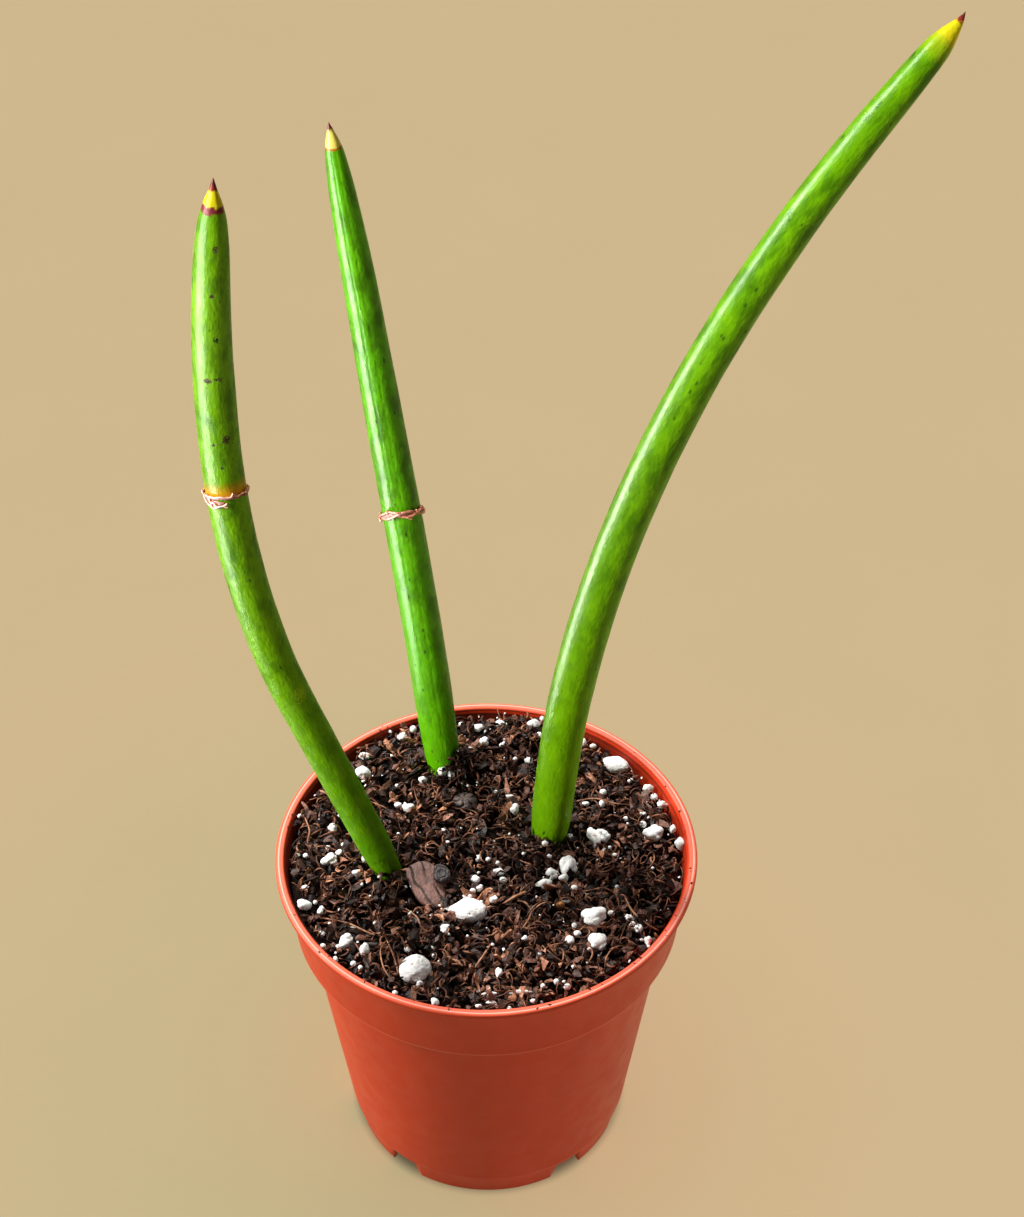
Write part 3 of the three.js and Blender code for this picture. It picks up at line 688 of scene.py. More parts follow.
def plastic_material():
    material, tree, shader, place = new_material("red_orange_plastic", roughness=0.4, specular=0.29)
    flow = vector(tree, "MULTIPLY", place, MOULD_FLOW)
    colour = two_tone(tree, flow, PLASTIC_RED, PLASTIC_DEEP, size=18.0, softness=0.25)
    level = vector(tree, "MULTIPLY", place, SCUFF_STRETCH)
    scuffs = place_group(tree, CLOUDS, level, size=0.9, level=0.68, softness=0.05)
    colour = paint(tree, colour, PLASTIC_WEAR_AND_SHEEN, scuffs, SCUFF_WEAR)
    height = axis_of(tree, place, "Z")
    # Painted sheen: the lip's top is painted paler.
    lip = times(tree, fade(tree, height, *LIP_TOP), LIP_SHEEN)
    colour = mix(tree, lip, colour, PLASTIC_WEAR_AND_SHEEN)
    from_axis = vector(tree, "MULTIPLY", vector(tree, "SUBTRACT", place, POT_AXIS / MM), LEVEL_ONLY)
    # Painted highlight along the lip's outer edge.
    rim_highlight = fade(tree, off_by(tree, length_of(tree, from_axis), RIM_HIGHLIGHT_RADIUS), *RIM_HIGHLIGHT_REACH)
    colour = paint(tree, colour, RIM_HIGHLIGHT, rim_highlight, times(tree, lip, RIM_HIGHLIGHT_GAIN))
    # Painted highlights on the step and foot-line edges, and painted shade under the lip.
    for at, reach, strength, tone in EDGE_LIGHT_AND_SHADE:
        line = fade(tree, off_by(tree, height, at), reach, reach * 0.4, 0.0, strength)
        colour = mix(tree, line, colour, tone)
    # Painted shade on the inner wall.
    normal = node(tree, "ShaderNodeNewGeometry").outputs["Normal"]
    outwards = node(tree, "ShaderNodeVectorMath", {0: normal, 1: place}, operation="DOT_PRODUCT")
    inner_wall = fade(tree, outwards.outputs["Value"], *INNER_FACING)
    colour = paint(tree, colour, PEAT_DUST_AND_SHADE, inner_wall, INNER_SHADE)
    dirt = times(tree, place_group(tree, DUST, place, amount=0.35), DUST_STRENGTH)
    colour = mix(tree, dirt, colour, PEAT_DUST_AND_SHADE)
    satin = place_group(tree, CLOUDS, place, size=6.0, softness=0.3)
    gloss = fade(tree, satin, 0.0, 1.0, *SATIN_RANGE)
    roughness = maths(tree, "ADD", gloss, times(tree, dirt, DUST_ROUGHNESS))
    tree.links.new(roughness, shader.inputs["Roughness"])
    specks = place_group(tree, SPECKS, place, spacing=2.4, radius=0.28, share=0.10)
    grain = place_group(tree, GRAIN, place, size=0.45)
    relief = maths(tree, "ADD", grain, times(tree, specks, SPECK_HEIGHT))
    set_surface(tree, shader, colour, relief, depth=0.03)
    return material


pot_piece = finish_piece(pot, "pot_shell", plastic_material(), "pot_plastic", "nursery_pot")
weights = pot_piece.modifiers.new("weighted normals", "WEIGHTED_NORMAL")
weights.keep_sharp = True

# %% [markdown]
# ## The potting mix
# The mix fills the pot to just under the lip, as a low mound that sinks a little to the right and front.
# Its top is not a surface but a heap of crumbs. A heap could be all loose crumbs, but most would never be
# seen. So a bed with a rough relief carries it, and crumbs, chips, fibres and grains lie on the bed.
# Small heaps lie against the feet of the leaves. Each is a place with a height and a reach.

# %% Height of the mix
GAP = 0.3
MIX_EDGE_HEIGHT = 103.3
MIX_REACH = 55
MIX_MOUND = 1
MIX_LEAN_X = -1.4
MIX_LEAN_Y = 0.65
HEAPS = [
    ((-8.3, 33.3), 9.5, 5.2), ((16, 2.2), 3.4, 5.2), ((-27.5, -10.5), 2.6, 4.4), ((8, 50), 2.6, 14),
    ((-24, 44), 1.2, 8), ((36, 33), 1.0, 9),
]
BED_SINK = 3.6
HOLLOW_SIZE = 2.6
BED_RINGS = 90
BED_STEPS = 200


def mix_height(x, y):
    """Height of the mix at a place, without its crumbs."""
    out = (x * x + y * y) / MIX_REACH ** 2
    return MIX_EDGE_HEIGHT + (MIX_LEAN_X * x + MIX_LEAN_Y * y) / MIX_REACH + MIX_MOUND * (1 - out)


def heaped_height(x, y):
    """The same with the small heaps that lie against the feet of the leaves."""
    height = mix_height(x, y)
    for (heap_x, heap_y), tall, reach in HEAPS:
        height += tall * math.exp(-((x - heap_x) ** 2 + (y - heap_y) ** 2) / reach ** 2)
    return height


def bed_relief(x, y):
    """Hollows and ridges between the crumbs."""
    return noise.fractal(Vector((x, y, 3.0)) / HOLLOW_SIZE, 0.8, 2.1, 4) - BED_SINK


# %% The bed
bed_walls = [(radius - GAP, height) for radius, height in POT_INSIDE]
bed_walls[0] = (bed_walls[0][0], bed_walls[0][1] + GAP)
bed_radius = bed_walls[-1][0]
bed_section = [(0, bed_walls[0][1]), *bed_walls[:-1]]
bed_section += [(bed_radius * (1 - k / BED_RINGS), POT_HEIGHT) for k in range(BED_RINGS + 1)]
bed = spun(bed_section, BED_STEPS)
for vert in bed.verts:
    if vert.co.z > POT_HEIGHT - NEARLY:
        x, y = vert.co.xy
        vert.co.z = heaped_height(x, y) + bed_relief(x, y)

# %% Peat
# The bed is painted nearly black, as painted shade deep between the crumbs.
BED_SHADE_BLACK = (0.003, 0.0015, 0.001, 1)
BED_SHADE_BROWN = (0.016, 0.007, 0.004, 1)


def shaded_peat_material():
    material, tree, shader, place = new_material("dark_peat_and_shade", roughness=0.9, specular=0.15)
    colour = two_tone(tree, place, BED_SHADE_BLACK, BED_SHADE_BROWN, size=1.6, softness=0.2)
    grain = place_group(tree, GRAIN, place, size=0.5, coarse=1.0)
    set_surface(tree, shader, colour, grain, depth=0.5)
    return material


finish_piece(bed, "mix_bed", shaded_peat_material(), "potting_mix", "potting_mix")

# %% [markdown]
# ## Leaves
# A leaf of this plant is a solid round spindle that tapers to a hard point. It is made straight and then
# bent. Spinning a section of its girth gives the spindle, and each of its points remembers where it was
# on the straight leaf. The skin's streaks, clouds and tip colours are painted in those straight
# coordinates, so they follow the leaf round its bend and have no seam.

# %% Where the leaves stand and how they bend
LEFT_LEAF = {
    "foot": (-28, -5),
    "leans": 195,
    "spine": [(-9, 74), (0, 104.5), (14, 150), (27.3, 195.5), (34.2, 242), (34.7, 289.5), (30.6, 336)],
    "girth": [
        (0, 0), (3.3, 1.0), (7.4, 2.4), (13, 3.5), (26, 4.3), (60, 4.9), (115, 5.05), (180, 4.85),
        (222, 4.65), (228, 4.45), (234, 4.0), (240, 3.6), (262, 3.3),
    ],
    "grooves": [],
    "hook": (0, 0),
}
MIDDLE_LEAF = {
    "foot": (-13, 36.5),
    "leans": 165,
    "spine": [(-2.5, 72.5), (0, 104.5), (4, 147), (8.8, 189.5), (14, 232), (19, 274.5), (24.5, 317)],
    "girth": [
        (0, 0), (6, 1.9), (12, 2.75), (24, 3.55), (50, 4.4), (105, 5.2), (170, 5.55), (200, 5.4),
        (208, 5.1), (214, 4.6), (220, 4.2), (240, 3.8),
    ],
    "grooves": [357, 331],
    "hook": (0, 0),
}
RIGHT_LEAF = {
    "foot": (18, 9),
    "leans": 10,
    "spine": [(-1.5, 72), (0, 104), (5.4, 158), (17.2, 211), (36, 262.5), (61, 309.5), (92.5, 355.2)],
    "girth": [
        (0, 0), (7.5, 2.6), (14.5, 3.5), (36, 4.3), (80, 5), (140, 5.5), (205, 5.9), (250, 5.8),
        (264, 5.7), (270, 5.3), (275, 4.6), (281, 4.0), (296, 3.7),
    ],
    "grooves": [],
    "hook": (0, -0.5),
}


# %% A smooth line through points
def smooth_line(points, steps):
    """Points along a smooth curve that passes through all the given ones."""
    knots = [Vector(point) for point in points]
    padded = [knots[0], *knots, knots[-1]]
    line = []
    for before, start, end, after in zip(padded, padded[1:], padded[2:], padded[3:]):
        pull_out = start + (end - before) / 6
        pull_in = end - (after - start) / 6
        line += interpolate_bezier(start, pull_out, pull_in, end, steps + 1)[:-1]
    return line + [knots[-1]]


# %% Bend a straight leaf
SPINE_STEPS = 80
GIRTH_STEPS = 26
LEAF_SIDES = 96
HOOK_LENGTH = 3.0


class Leaf:
    """A leaf's spine in its upright plane, and the frame across it at any distance from its point."""

    def __init__(self, shape):
        self.shape = shape
        self.foot = Vector((*shape["foot"], 0))
        lean = math.radians(shape["leans"])
        self.away = Vector((math.cos(lean), math.sin(lean), 0))
        self.across = Vector((0, 0, 1)).cross(self.away)
        self.line = smooth_line(shape["spine"], SPINE_STEPS)
        self.reach = [0.0]
        for start, end in zip(self.line, self.line[1:]):
            self.reach.append(self.reach[-1] + (end - start).length)
        self.length = self.reach[-1]
        self.girth = smooth_line(shape["girth"], GIRTH_STEPS)

    def station(self, from_point):
        """The centre, the direction towards the point, and the bend side, at that distance."""
        along = min(max(self.length - from_point, 0), self.length)
        k = next(i for i in range(1, len(self.reach)) if self.reach[i] >= along - 1e-9)
        share = (along - self.reach[k - 1]) / (self.reach[k] - self.reach[k - 1])
        at = self.line[k - 1].lerp(self.line[k], share)
        before, after = self.line[max(k - 2, 0)], self.line[min(k + 1, len(self.line) - 1)]
        slope = (after - before).normalized()
        centre = self.foot + self.away * at.x + Vector((0, 0, at.y))
        direction = self.away * slope.x + Vector((0, 0, slope.y))
        return centre, direction, self.across.cross(direction)

    def radius(self, from_point):
        pairs = zip(self.girth, self.girth[1:])
        start, end = next(pair for pair in pairs if pair[1].x >= from_point)
        return start.y + (end.y - start.y) * (from_point - start.x) / (end.x - start.x)


# %% [markdown]
# The skin is not a perfect spindle. It swells and sinks by a tenth of a millimetre, and the middle leaf
# has two shallow grooves along its front. That relief is put on the straight leaf, by its own formula.

# %% Relief of the skin
SKIN_SWELL = 0.07
SKIN_PUCKER = 0.012
GROOVE_DEPTH = 0.08
GROOVE_WIDTH = 0.28
SMOOTH_POINT = 15
SHOULDER_HEIGHT = 1.2
SHOULDER_SHARE = 0.7


def skin_relief(leaf, x, y, z):
    """How far the skin stands out at a place on the straight leaf."""
    swell = noise.noise(Vector((x / 5, y / 5, z / 16 + leaf.length)))
    pucker = noise.noise(Vector((x / 0.9, y / 0.9, z / 2.2)))
    relief = SKIN_SWELL * swell + SKIN_PUCKER * pucker
    for heading in leaf.shape["grooves"]:
        turn = math.atan2(y, x) - math.radians(heading)
        offset = math.atan2(math.sin(turn), math.cos(turn)) * math.hypot(x, y)
        relief -= GROOVE_DEPTH * math.exp(-((offset / GROOVE_WIDTH) ** 2))
    return relief * min(1, -z / SMOOTH_POINT)


def leaf_mesh(leaf):
    """The leaf's mesh, bent, with its straight coordinates kept as an attribute."""
    end, end_radius = leaf.girth[-1]
    underside = -end - SHOULDER_HEIGHT
    section = [(0, underside), (end_radius * SHOULDER_SHARE, underside)]
    section += [(radius, -from_point) for from_point, radius in reversed(leaf.girth)]
    bm = spun(section, LEAF_SIDES)
    straight = bm.verts.layers.float_vector.new("straight")
    stations = {}
    for vert in bm.verts:
        x, y, z = vert.co
        vert[straight] = (x, y, z)
        out = Vector((x, y, 0)).normalized() * skin_relief(leaf, x, y, z)
        if z not in stations:
            stations[z] = leaf.station(-z)
        centre, direction, bend = stations[z]
        pull = max(0, 1 + z / HOOK_LENGTH) ** 2
        x += out.x + leaf.shape["hook"][0] * pull
        y += out.y + leaf.shape["hook"][1] * pull
        past = min(leaf.length + z, 0)
        vert.co = centre + leaf.across * x + bend * y + direction * past
    bmesh.ops.recalc_face_normals(bm, faces=bm.faces)
    return bm


left_leaf, middle_leaf, right_leaf = (Leaf(shape) for shape in (LEFT_LEAF, MIDDLE_LEAF, RIGHT_LEAF))
print("leaf lengths:", [round(leaf.length) for leaf in (left_leaf, middle_leaf, right_leaf)])

# %% [markdown]
# The skin is a waxy green: darker clouds, fine streaks along the leaf, tiny pale and dark dots, and a
# brighter, yellower foot. The point is horny and dark red, with a yellow cone under it. The left leaf has
# healed scars, each an oval patch at a known distance from the point. A scar is a mask used many times,
# so it is a node group as well.

# %% Scars
SCAR_RAGGEDNESS = 3.2
SCAR_EDGE = (2.45, 2.05)


def scar_group():
    tree, given, give = new_group("scar", "Mask", centre=ORIGIN, reach=(1.0, 1.0, 1.0))
    offset = vector(tree, "SUBTRACT", given["Place"], given["Centre"])
    distance = length_of(tree, vector(tree, "DIVIDE", offset, given["Reach"]))
    ragged = noise_at(tree, given["Place"], detail=5.0, scale=2.2)
    edge = maths(tree, "ADD", distance, times(tree, ragged, SCAR_RAGGEDNESS))
    give(fade(tree, edge, *SCAR_EDGE))
    return tree


SCAR = scar_group()


def skin_place(leaf, from_point, turn):
    """A place on the skin in straight coordinates."""
    radius, angle = leaf.radius(from_point), math.radians(turn)
    return (radius * math.cos(angle), radius * math.sin(angle), -from_point)


# %% Leaf skin
TIP_SPAN = 14
SHINE_SPAN = 300
SKIN_DEEP = (0.040, 0.14, 0.001, 1)
SKIN_LIGHT = (0.29, 0.54, 0.004, 1)
SKIN_DOT = (0.015, 0.05, 0.004, 1)
SCAR_BROWN = (0.060, 0.038, 0.014, 1)
RING_GLOW = (0.70, 0.29, 0.01, 1)
GLOW_TILT = 0.4
GLOW_STRENGTH = 0.85
DRAWN_OUT = (1.0, 1.0, 0.45)
STREAKED = (1.0, 1.0, 0.07)
DIMPLE_HEIGHT = 1.2
SCAR_DEPTH = 0.5
WAXY_ROUGHNESS = (0.24, 0.46)
WAXY_GAIN = (1.2, 0.7)


def leaf_material(name, leaf, greens, tip, scars, clouded, shine, glow_at=None):
    material, tree, shader, _ = new_material(name, roughness=0.36, specular=0.04)
    shader.inputs["Coat Roughness"].default_value = 0.26
    straight = carried(tree, "straight", "Vector")
    from_point = times(tree, axis_of(tree, straight, "Z"), -1.0)
    drawn_out = vector(tree, "MULTIPLY", straight, DRAWN_OUT)
    streaked = vector(tree, "MULTIPLY", straight, STREAKED)

    upper_green, foot_green, light_green = greens
    foot = fade(tree, from_point, leaf.length * 0.5, leaf.length * 0.85)
    colour = mix(tree, foot, upper_green, foot_green)
    fresh = fade(tree, from_point, leaf.length * 0.4, leaf.length * 0.8, 0.75, 0.3)
    mottled = times(tree, fresh, 0.45)
    # Each layer is a tone, its strength, the pattern that masks it, and the place that the pattern reads.
    layers = [
        (light_green, 0.4, CLOUDS, straight, {"size": 7.0, "level": 0.52, "softness": 0.1}),
        (SKIN_DEEP, fresh, CLOUDS, drawn_out, {"size": 4.2, "level": clouded, "softness": 0.12}),
        (SKIN_DEEP, mottled, CLOUDS, drawn_out, {"size": 1.5, "level": 0.56, "softness": 0.12}),
        (SKIN_DEEP, 0.1, CLOUDS, streaked, {"size": 0.7, "level": 0.5, "softness": 0.2}),
        (light_green, 0.55, SPECKS, drawn_out, {"spacing": 1.2, "radius": 0.2, "share": 0.3}),
        (SKIN_DOT, 0.75, SPECKS, drawn_out, {"spacing": 2.4, "radius": 0.4, "share": 0.26}),
        (SKIN_DOT, 0.75, SPECKS, drawn_out, {"spacing": 1.4, "radius": 0.2, "share": 0.2}),
    ]
    for tone, strength, pattern, place, measures in layers:
        colour = paint(tree, colour, tone, place_group(tree, pattern, place, **measures), strength)
    if glow_at:
        tilted = maths(tree, "MULTIPLY_ADD", axis_of(tree, straight, "X"), GLOW_TILT, from_point)
        above = fade(tree, tilted, glow_at - 5.5, glow_at)
        below = fade(tree, tilted, glow_at + 0.8, glow_at - 0.4)
        colour = paint(tree, colour, RING_GLOW, times(tree, above, below), GLOW_STRENGTH)

    dimples = place_group(tree, CLOUDS, drawn_out, size=2.0, softness=0.4)
    grain = place_group(tree, GRAIN, drawn_out, size=0.7)
    relief = maths(tree, "ADD", grain, times(tree, dimples, DIMPLE_HEIGHT))
    for (at, turn, along, around), tone in scars:
        centre = skin_place(leaf, at, turn)
        mask = place_group(tree, SCAR, straight, centre=centre, reach=(around, around, along))
        colour = mix(tree, mask, colour, tone)
        relief = maths(tree, "SUBTRACT", relief, times(tree, mask, SCAR_DEPTH))

    wobble = maths(tree, "SUBTRACT", noise_at(tree, straight, detail=3.0, scale=0.9), 0.5)
    ragged = maths(tree, "ADD", from_point, times(tree, wobble, tip["ragged"]))
    stops = [(at / TIP_SPAN, (*tone, cover)) for at, tone, cover in tip["stops"]]
    painted = ramp(tree, maths(tree, "DIVIDE", ragged, TIP_SPAN), stops).outputs
    colour = mix(tree, painted["Alpha"], colour, painted["Color"])
    gloss = place_group(tree, CLOUDS, drawn_out, size=1.8, softness=0.2)
    tree.links.new(fade(tree, gloss, 0.0, 1.0, *WAXY_ROUGHNESS), shader.inputs["Roughness"])
    stops = [(at / SHINE_SPAN, (weight, weight, weight, 1)) for at, weight in shine]
    waxy = ramp(tree, maths(tree, "DIVIDE", from_point, SHINE_SPAN), stops).outputs["Color"]
    wax = times(tree, waxy, fade(tree, gloss, 0.0, 1.0, *WAXY_GAIN))
    tree.links.new(wax, shader.inputs["Coat Weight"])
    set_surface(tree, shader, colour, relief, depth=0.14)
    return material


# %% [markdown]
# A tip is painted by stops: a distance from the point, a tone, and how much of it covers the green. A scar
# has a distance from the point, an angle round the leaf, a length, a width and a tone. The shine is a
# weight at each distance from the point, because the pale stripe fades on the lower part of each leaf.

# %% Tip colours and scars of each leaf
HORN = (0.11, 0.014, 0.012)
RED_HORN = (0.26, 0.028, 0.018)
YELLOW = (0.66, 0.58, 0.010)
PALE_YELLOW = (0.74, 0.64, 0.13)
PURPLE = (0.17, 0.024, 0.026)
AMBER = (0.42, 0.15, 0.01)
LIME = (0.35, 0.48, 0.01)
LEFT_TIP = {
    "ragged": 2.0,
    "stops": [
        (0, HORN, 1), (1.6, HORN, 1), (2.9, RED_HORN, 1), (3.4, YELLOW, 1), (6.4, YELLOW, 1),
        (6.8, PURPLE, 1), (7.9, PURPLE, 1), (8.6, PURPLE, 0),
    ],
}
MIDDLE_TIP = {
    "ragged": 0.5,
    "stops": [
        (0, HORN, 1), (1.6, HORN, 1), (2.4, PALE_YELLOW, 1), (6.2, PALE_YELLOW, 1), (6.5, AMBER, 1),
        (6.75, AMBER, 1), (7.0, AMBER, 0),
    ],
}
RIGHT_TIP = {
    "ragged": 3.0,
    "stops": [
        (0, HORN, 1), (1.2, HORN, 1), (2.3, RED_HORN, 1), (3.0, YELLOW, 1), (6.2, YELLOW, 1),
        (8.5, LIME, 0.8), (13.0, LIME, 0),
    ],
}
LEFT_SCARS = [
    ((16.2, 356, 0.9, 0.8), SCAR_BROWN),
    ((28, 8, 0.7, 0.9), SCAR_BROWN),
    ((39.7, 356, 0.9, 1.0), SKIN_DOT),
    ((50.9, 24, 0.9, 1.6), SCAR_BROWN),
    ((50.6, 354, 0.7, 1.2), SCAR_BROWN),
    ((68.0, 346, 1.3, 1.5), SCAR_BROWN),
    ((69.2, 22, 0.6, 0.7), SCAR_BROWN),
    ((76, 6, 0.6, 0.5), SKIN_DOT),
    ((155.7, 330, 3.5, 2.2), SKIN_LIGHT),
]
RIGHT_SCARS = [
    ((14.5, 285, 1.6, 1.2), SKIN_DEEP),
    ((27.7, 240, 1.6, 0.6), SKIN_DEEP),
    ((31.5, 246, 1.8, 0.4), SKIN_DEEP),
    ((59.8, 250, 2.4, 0.5), SKIN_DEEP),
]

LEFT_GREENS = [(0.155, 0.40, 0.001, 1), (0.105, 0.31, 0.001, 1), (0.195, 0.47, 0.002, 1)]
MIDDLE_GREENS = [(0.115, 0.47, 0.001, 1), (0.120, 0.46, 0.001, 1), (0.18, 0.60, 0.003, 1)]
RIGHT_GREENS = [(0.120, 0.33, 0.001, 1), (0.150, 0.38, 0.001, 1), (0.20, 0.48, 0.002, 1)]
LEFT_SHINE = [(0, 0.12), (42, 0.12), (72, 0.06), (110, 0.04), (150, 0)]
MIDDLE_SHINE = [(0, 0.17), (180, 0.18), (210, 0)]
RIGHT_SHINE = [(0, 0.17), (150, 0.15), (205, 0.04), (235, 0)]
LEAF_LOOKS = [
    ("left_leaf", left_leaf, LEFT_GREENS, LEFT_TIP, LEFT_SCARS, 0.56, LEFT_SHINE, 87),
    ("middle_leaf", middle_leaf, MIDDLE_GREENS, MIDDLE_TIP, [], 0.54, MIDDLE_SHINE, None),
    ("right_leaf", right_leaf, RIGHT_GREENS, RIGHT_TIP, RIGHT_SCARS, 0.56, RIGHT_SHINE, None),
]
for name, leaf, *look in LEAF_LOOKS:
    skin = leaf_material(name + "_skin", leaf, *look)
    finish_piece(leaf_mesh(leaf), name + "_blade", skin, "leaf_skin", name)

# %% [markdown]
# ## Dry rings
# Two leaves wear a dry ring, what is left of a sheath that once wrapped the young leaf. The left one is
# a pale papery line over a dark band, with a flake hanging from it. The middle one is a copper-coloured
# strand twisted on itself. Thin strands are drawn as curves with a thickness and turned into meshes.
# The bands are a spun ring whose section is pressed flat against the skin.

# %% Places round a leaf
LEFT_RING = {"from_point": 87, "rise": 2, "rises_to": 270}
MIDDLE_RING = {"from_point": 119, "rise": 3.6, "rises_to": 275}


def round_leaf(leaf, ring, heading, off, up):
    """A place that far off the skin and that far up the leaf, seen from the leaf towards a heading."""
    centre, direction, bend = leaf.station(ring["from_point"])
    towards = Vector((math.cos(math.radians(heading)), math.sin(math.radians(heading)), 0))
    out = (towards - direction * towards.dot(direction)).normalized()
    lift = up + ring["rise"] * math.cos(math.radians(heading - ring["rises_to"]))
    return centre + out * (leaf.radius(ring["from_point"]) + GAP + off) + direction * lift


# %% Strands
def strand_mesh(paths, sides, closed=False):
    """A mesh of round strands, one along each list of (place, radius) pairs."""
    curve = bpy.data.curves.new("strands", "CURVE")
    curve.dimensions = "3D"
    curve.bevel_depth = 1
    curve.bevel_resolution = (sides - 4) // 2
    curve.use_fill_caps = not closed
    for path in paths:
        spline = curve.splines.new("POLY")
        spline.points.add(len(path) - 1)
        for knot, (place, radius) in zip(spline.points, path):
            knot.co = (*place, 1)
            knot.radius = radius
        spline.use_cyclic_u = closed
    carrier = bpy.data.objects.new("strands", curve)
    mesh = bpy.data.meshes.new_from_object(carrier)
    bm = bmesh.new()
    bm.from_mesh(mesh)
    bmesh.ops.remove_doubles(bm, verts=bm.verts, dist=1e-4)
    bpy.data.objects.remove(carrier)
    bpy.data.curves.remove(curve)
    bpy.data.meshes.remove(mesh)
    return bm


def join(bm, other):
    """Adds another mesh to the first one."""
    mesh = bpy.data.meshes.new("joined")
    other.to_mesh(mesh)
    other.free()
    bm.from_mesh(mesh)
    bpy.data.meshes.remove(mesh)


# %% A band round a leaf
BAND_STEPS = 120
BAND_SIDES = 10


def band_mesh(leaf, ring, shape):
    """A closed band. The shape gives, for a heading and a place round its section, off and up."""
    bm = bmesh.new()
    across = Matrix.Translation((1, 0, 0)) @ Matrix.Rotation(math.radians(90), 4, "X")
    bmesh.ops.create_circle(bm, segments=BAND_SIDES, radius=0.5, matrix=across)
    spin_round(bm, bm.verts[:] + bm.edges[:], BAND_STEPS)
    for vert in bm.verts:
        heading = math.degrees(math.atan2(vert.co.y, vert.co.x)) % 360
        section = math.atan2(vert.co.z, vert.co.xy.length - 1)
        off, up = shape(heading, section)
        vert.co = round_leaf(leaf, ring, heading, off, up)
    bmesh.ops.recalc_face_normals(bm, faces=bm.faces)
    return bm


def ripple(heading, size, seed):
    """Even noise round the leaf, from -1 to 1, that meets itself after a full turn."""
    angle = math.radians(heading)
    return noise.noise(Vector((math.cos(angle) * size, math.sin(angle) * size, seed)))


# %% [markdown]
# The left ring: the band is dark and thin, and its dark red stands partly for the shade under the pale line
# that runs along its upper edge. The flake is a three-cornered scrap of the same dark paper with pale edges
# and a rib.

# %% Left ring
FLAKE_LEFT, FLAKE_POINT, FLAKE_RIGHT = (206, 0.1), (240, -3.0), (278, -1.2)
SPUR = [(286, 0.4), (292, 0.8), (296, 1.6)]


def left_band(heading, section):
    drop = 0.35 + 0.25 * ripple(heading, 2.5, 1.0)
    up = 0.45 + 0.12 * ripple(heading, 6, 2.0) + (math.sin(section) - 1) * drop
    return 0.12 * (1 + math.cos(section)), up


def line_round(leaf, ring, points, off, radius, steps=8):
    """A strand's path through given (heading, up) points."""
    line = smooth_line([(heading, up, 0) for heading, up in points], steps)
    count = len(line) - 1
    path = []
    for k, (heading, up, _) in enumerate(line):
        thick = radius * (0.75 + 0.25 * math.sin(math.pi * k / count))
        path.append((round_leaf(leaf, ring, heading, off, up), thick))
    return path


def pale_line(heading):
    up = 0.55 + 0.3 * ripple(heading, 4, 5.0)
    radius = 0.20 + 0.10 * ripple(heading, 8, 7.0)
    return round_leaf(left_leaf, LEFT_RING, heading, 0.2, up), radius


def flake_mesh():
    """A scrap of dry sheath between three corners, given as (heading, up)."""
    bm = bmesh.new()
    bmesh.ops.create_grid(bm, x_segments=8, y_segments=8, size=0.5)
    for vert in bm.verts:
        down, side = 0.5 - vert.co.y, vert.co.x + 0.5
        top = Vector(FLAKE_LEFT).lerp(Vector(FLAKE_RIGHT), side)
        heading, up = top.lerp(Vector(FLAKE_POINT), down)
        curl = 0.1 + 0.2 * down + 0.1 * ripple(heading, 6, 3.0)
        vert.co = round_leaf(left_leaf, LEFT_RING, heading, curl, up)
    bmesh.ops.remove_doubles(bm, verts=bm.verts, dist=1e-3)
    bmesh.ops.recalc_face_normals(bm, faces=bm.faces)
    bmesh.ops.solidify(bm, geom=bm.faces[:], thickness=0.12)
    return bm


# The left band's dark red is partly the sheath's own and partly painted shade under the pale line.
left_dark_and_shade = band_mesh(left_leaf, LEFT_RING, left_band)
join(left_dark_and_shade, flake_mesh())
left_pale = strand_mesh([[pale_line(3 * k) for k in range(120)]], 8, closed=True)
flake_edges = [
    [FLAKE_LEFT, (220, -1.5), FLAKE_POINT],
    [FLAKE_POINT, (256, -2.2), (270, -1.9), FLAKE_RIGHT],
    [(232, 0.3), (234, -1.2), FLAKE_POINT],
    [(233, -0.9), (246, -1.5), (252, -2.3)],
    [(268, -1.9), (274, -2.4), (278, -2.4)],
    SPUR,
    [(330, 0.6), (344, 1.1), (352, 1.4)],
    [(200, 0.4), (192, 0.9), (187, 1.1)],
]
join(left_pale, strand_mesh([line_round(left_leaf, LEFT_RING, line, 0.32, 0.24) for line in flake_edges], 8))

# %% [markdown]
# The middle ring: two copper strands cross each other every sixth of a turn over a dark band, four loose
# ends stand off them, and knobs sit where dried ends are rolled up.

# %% Middle ring
CROSSING = 260
TWIST_HEIGHT = 0.85


def twisted(heading, side):
    """One of two strands that cross every 60 degrees."""
    wave = math.sin(math.radians(3 * (heading - CROSSING))) * side
    off = 0.3 + 0.2 * math.cos(math.radians(3 * (heading - CROSSING))) * side
    up = TWIST_HEIGHT * wave * (1 + 0.3 * ripple(heading, 2, 4.0 + side))
    radius = 0.36 + 0.10 * ripple(heading, 5, 6.0 + side)
    return round_leaf(middle_leaf, MIDDLE_RING, heading, off, up), radius


def middle_band(heading, section):
    tall = 0.75 + 0.35 * abs(math.sin(math.radians(3 * (heading - CROSSING))))
    return 0.15 * (1 + math.cos(section)), math.sin(section) * tall


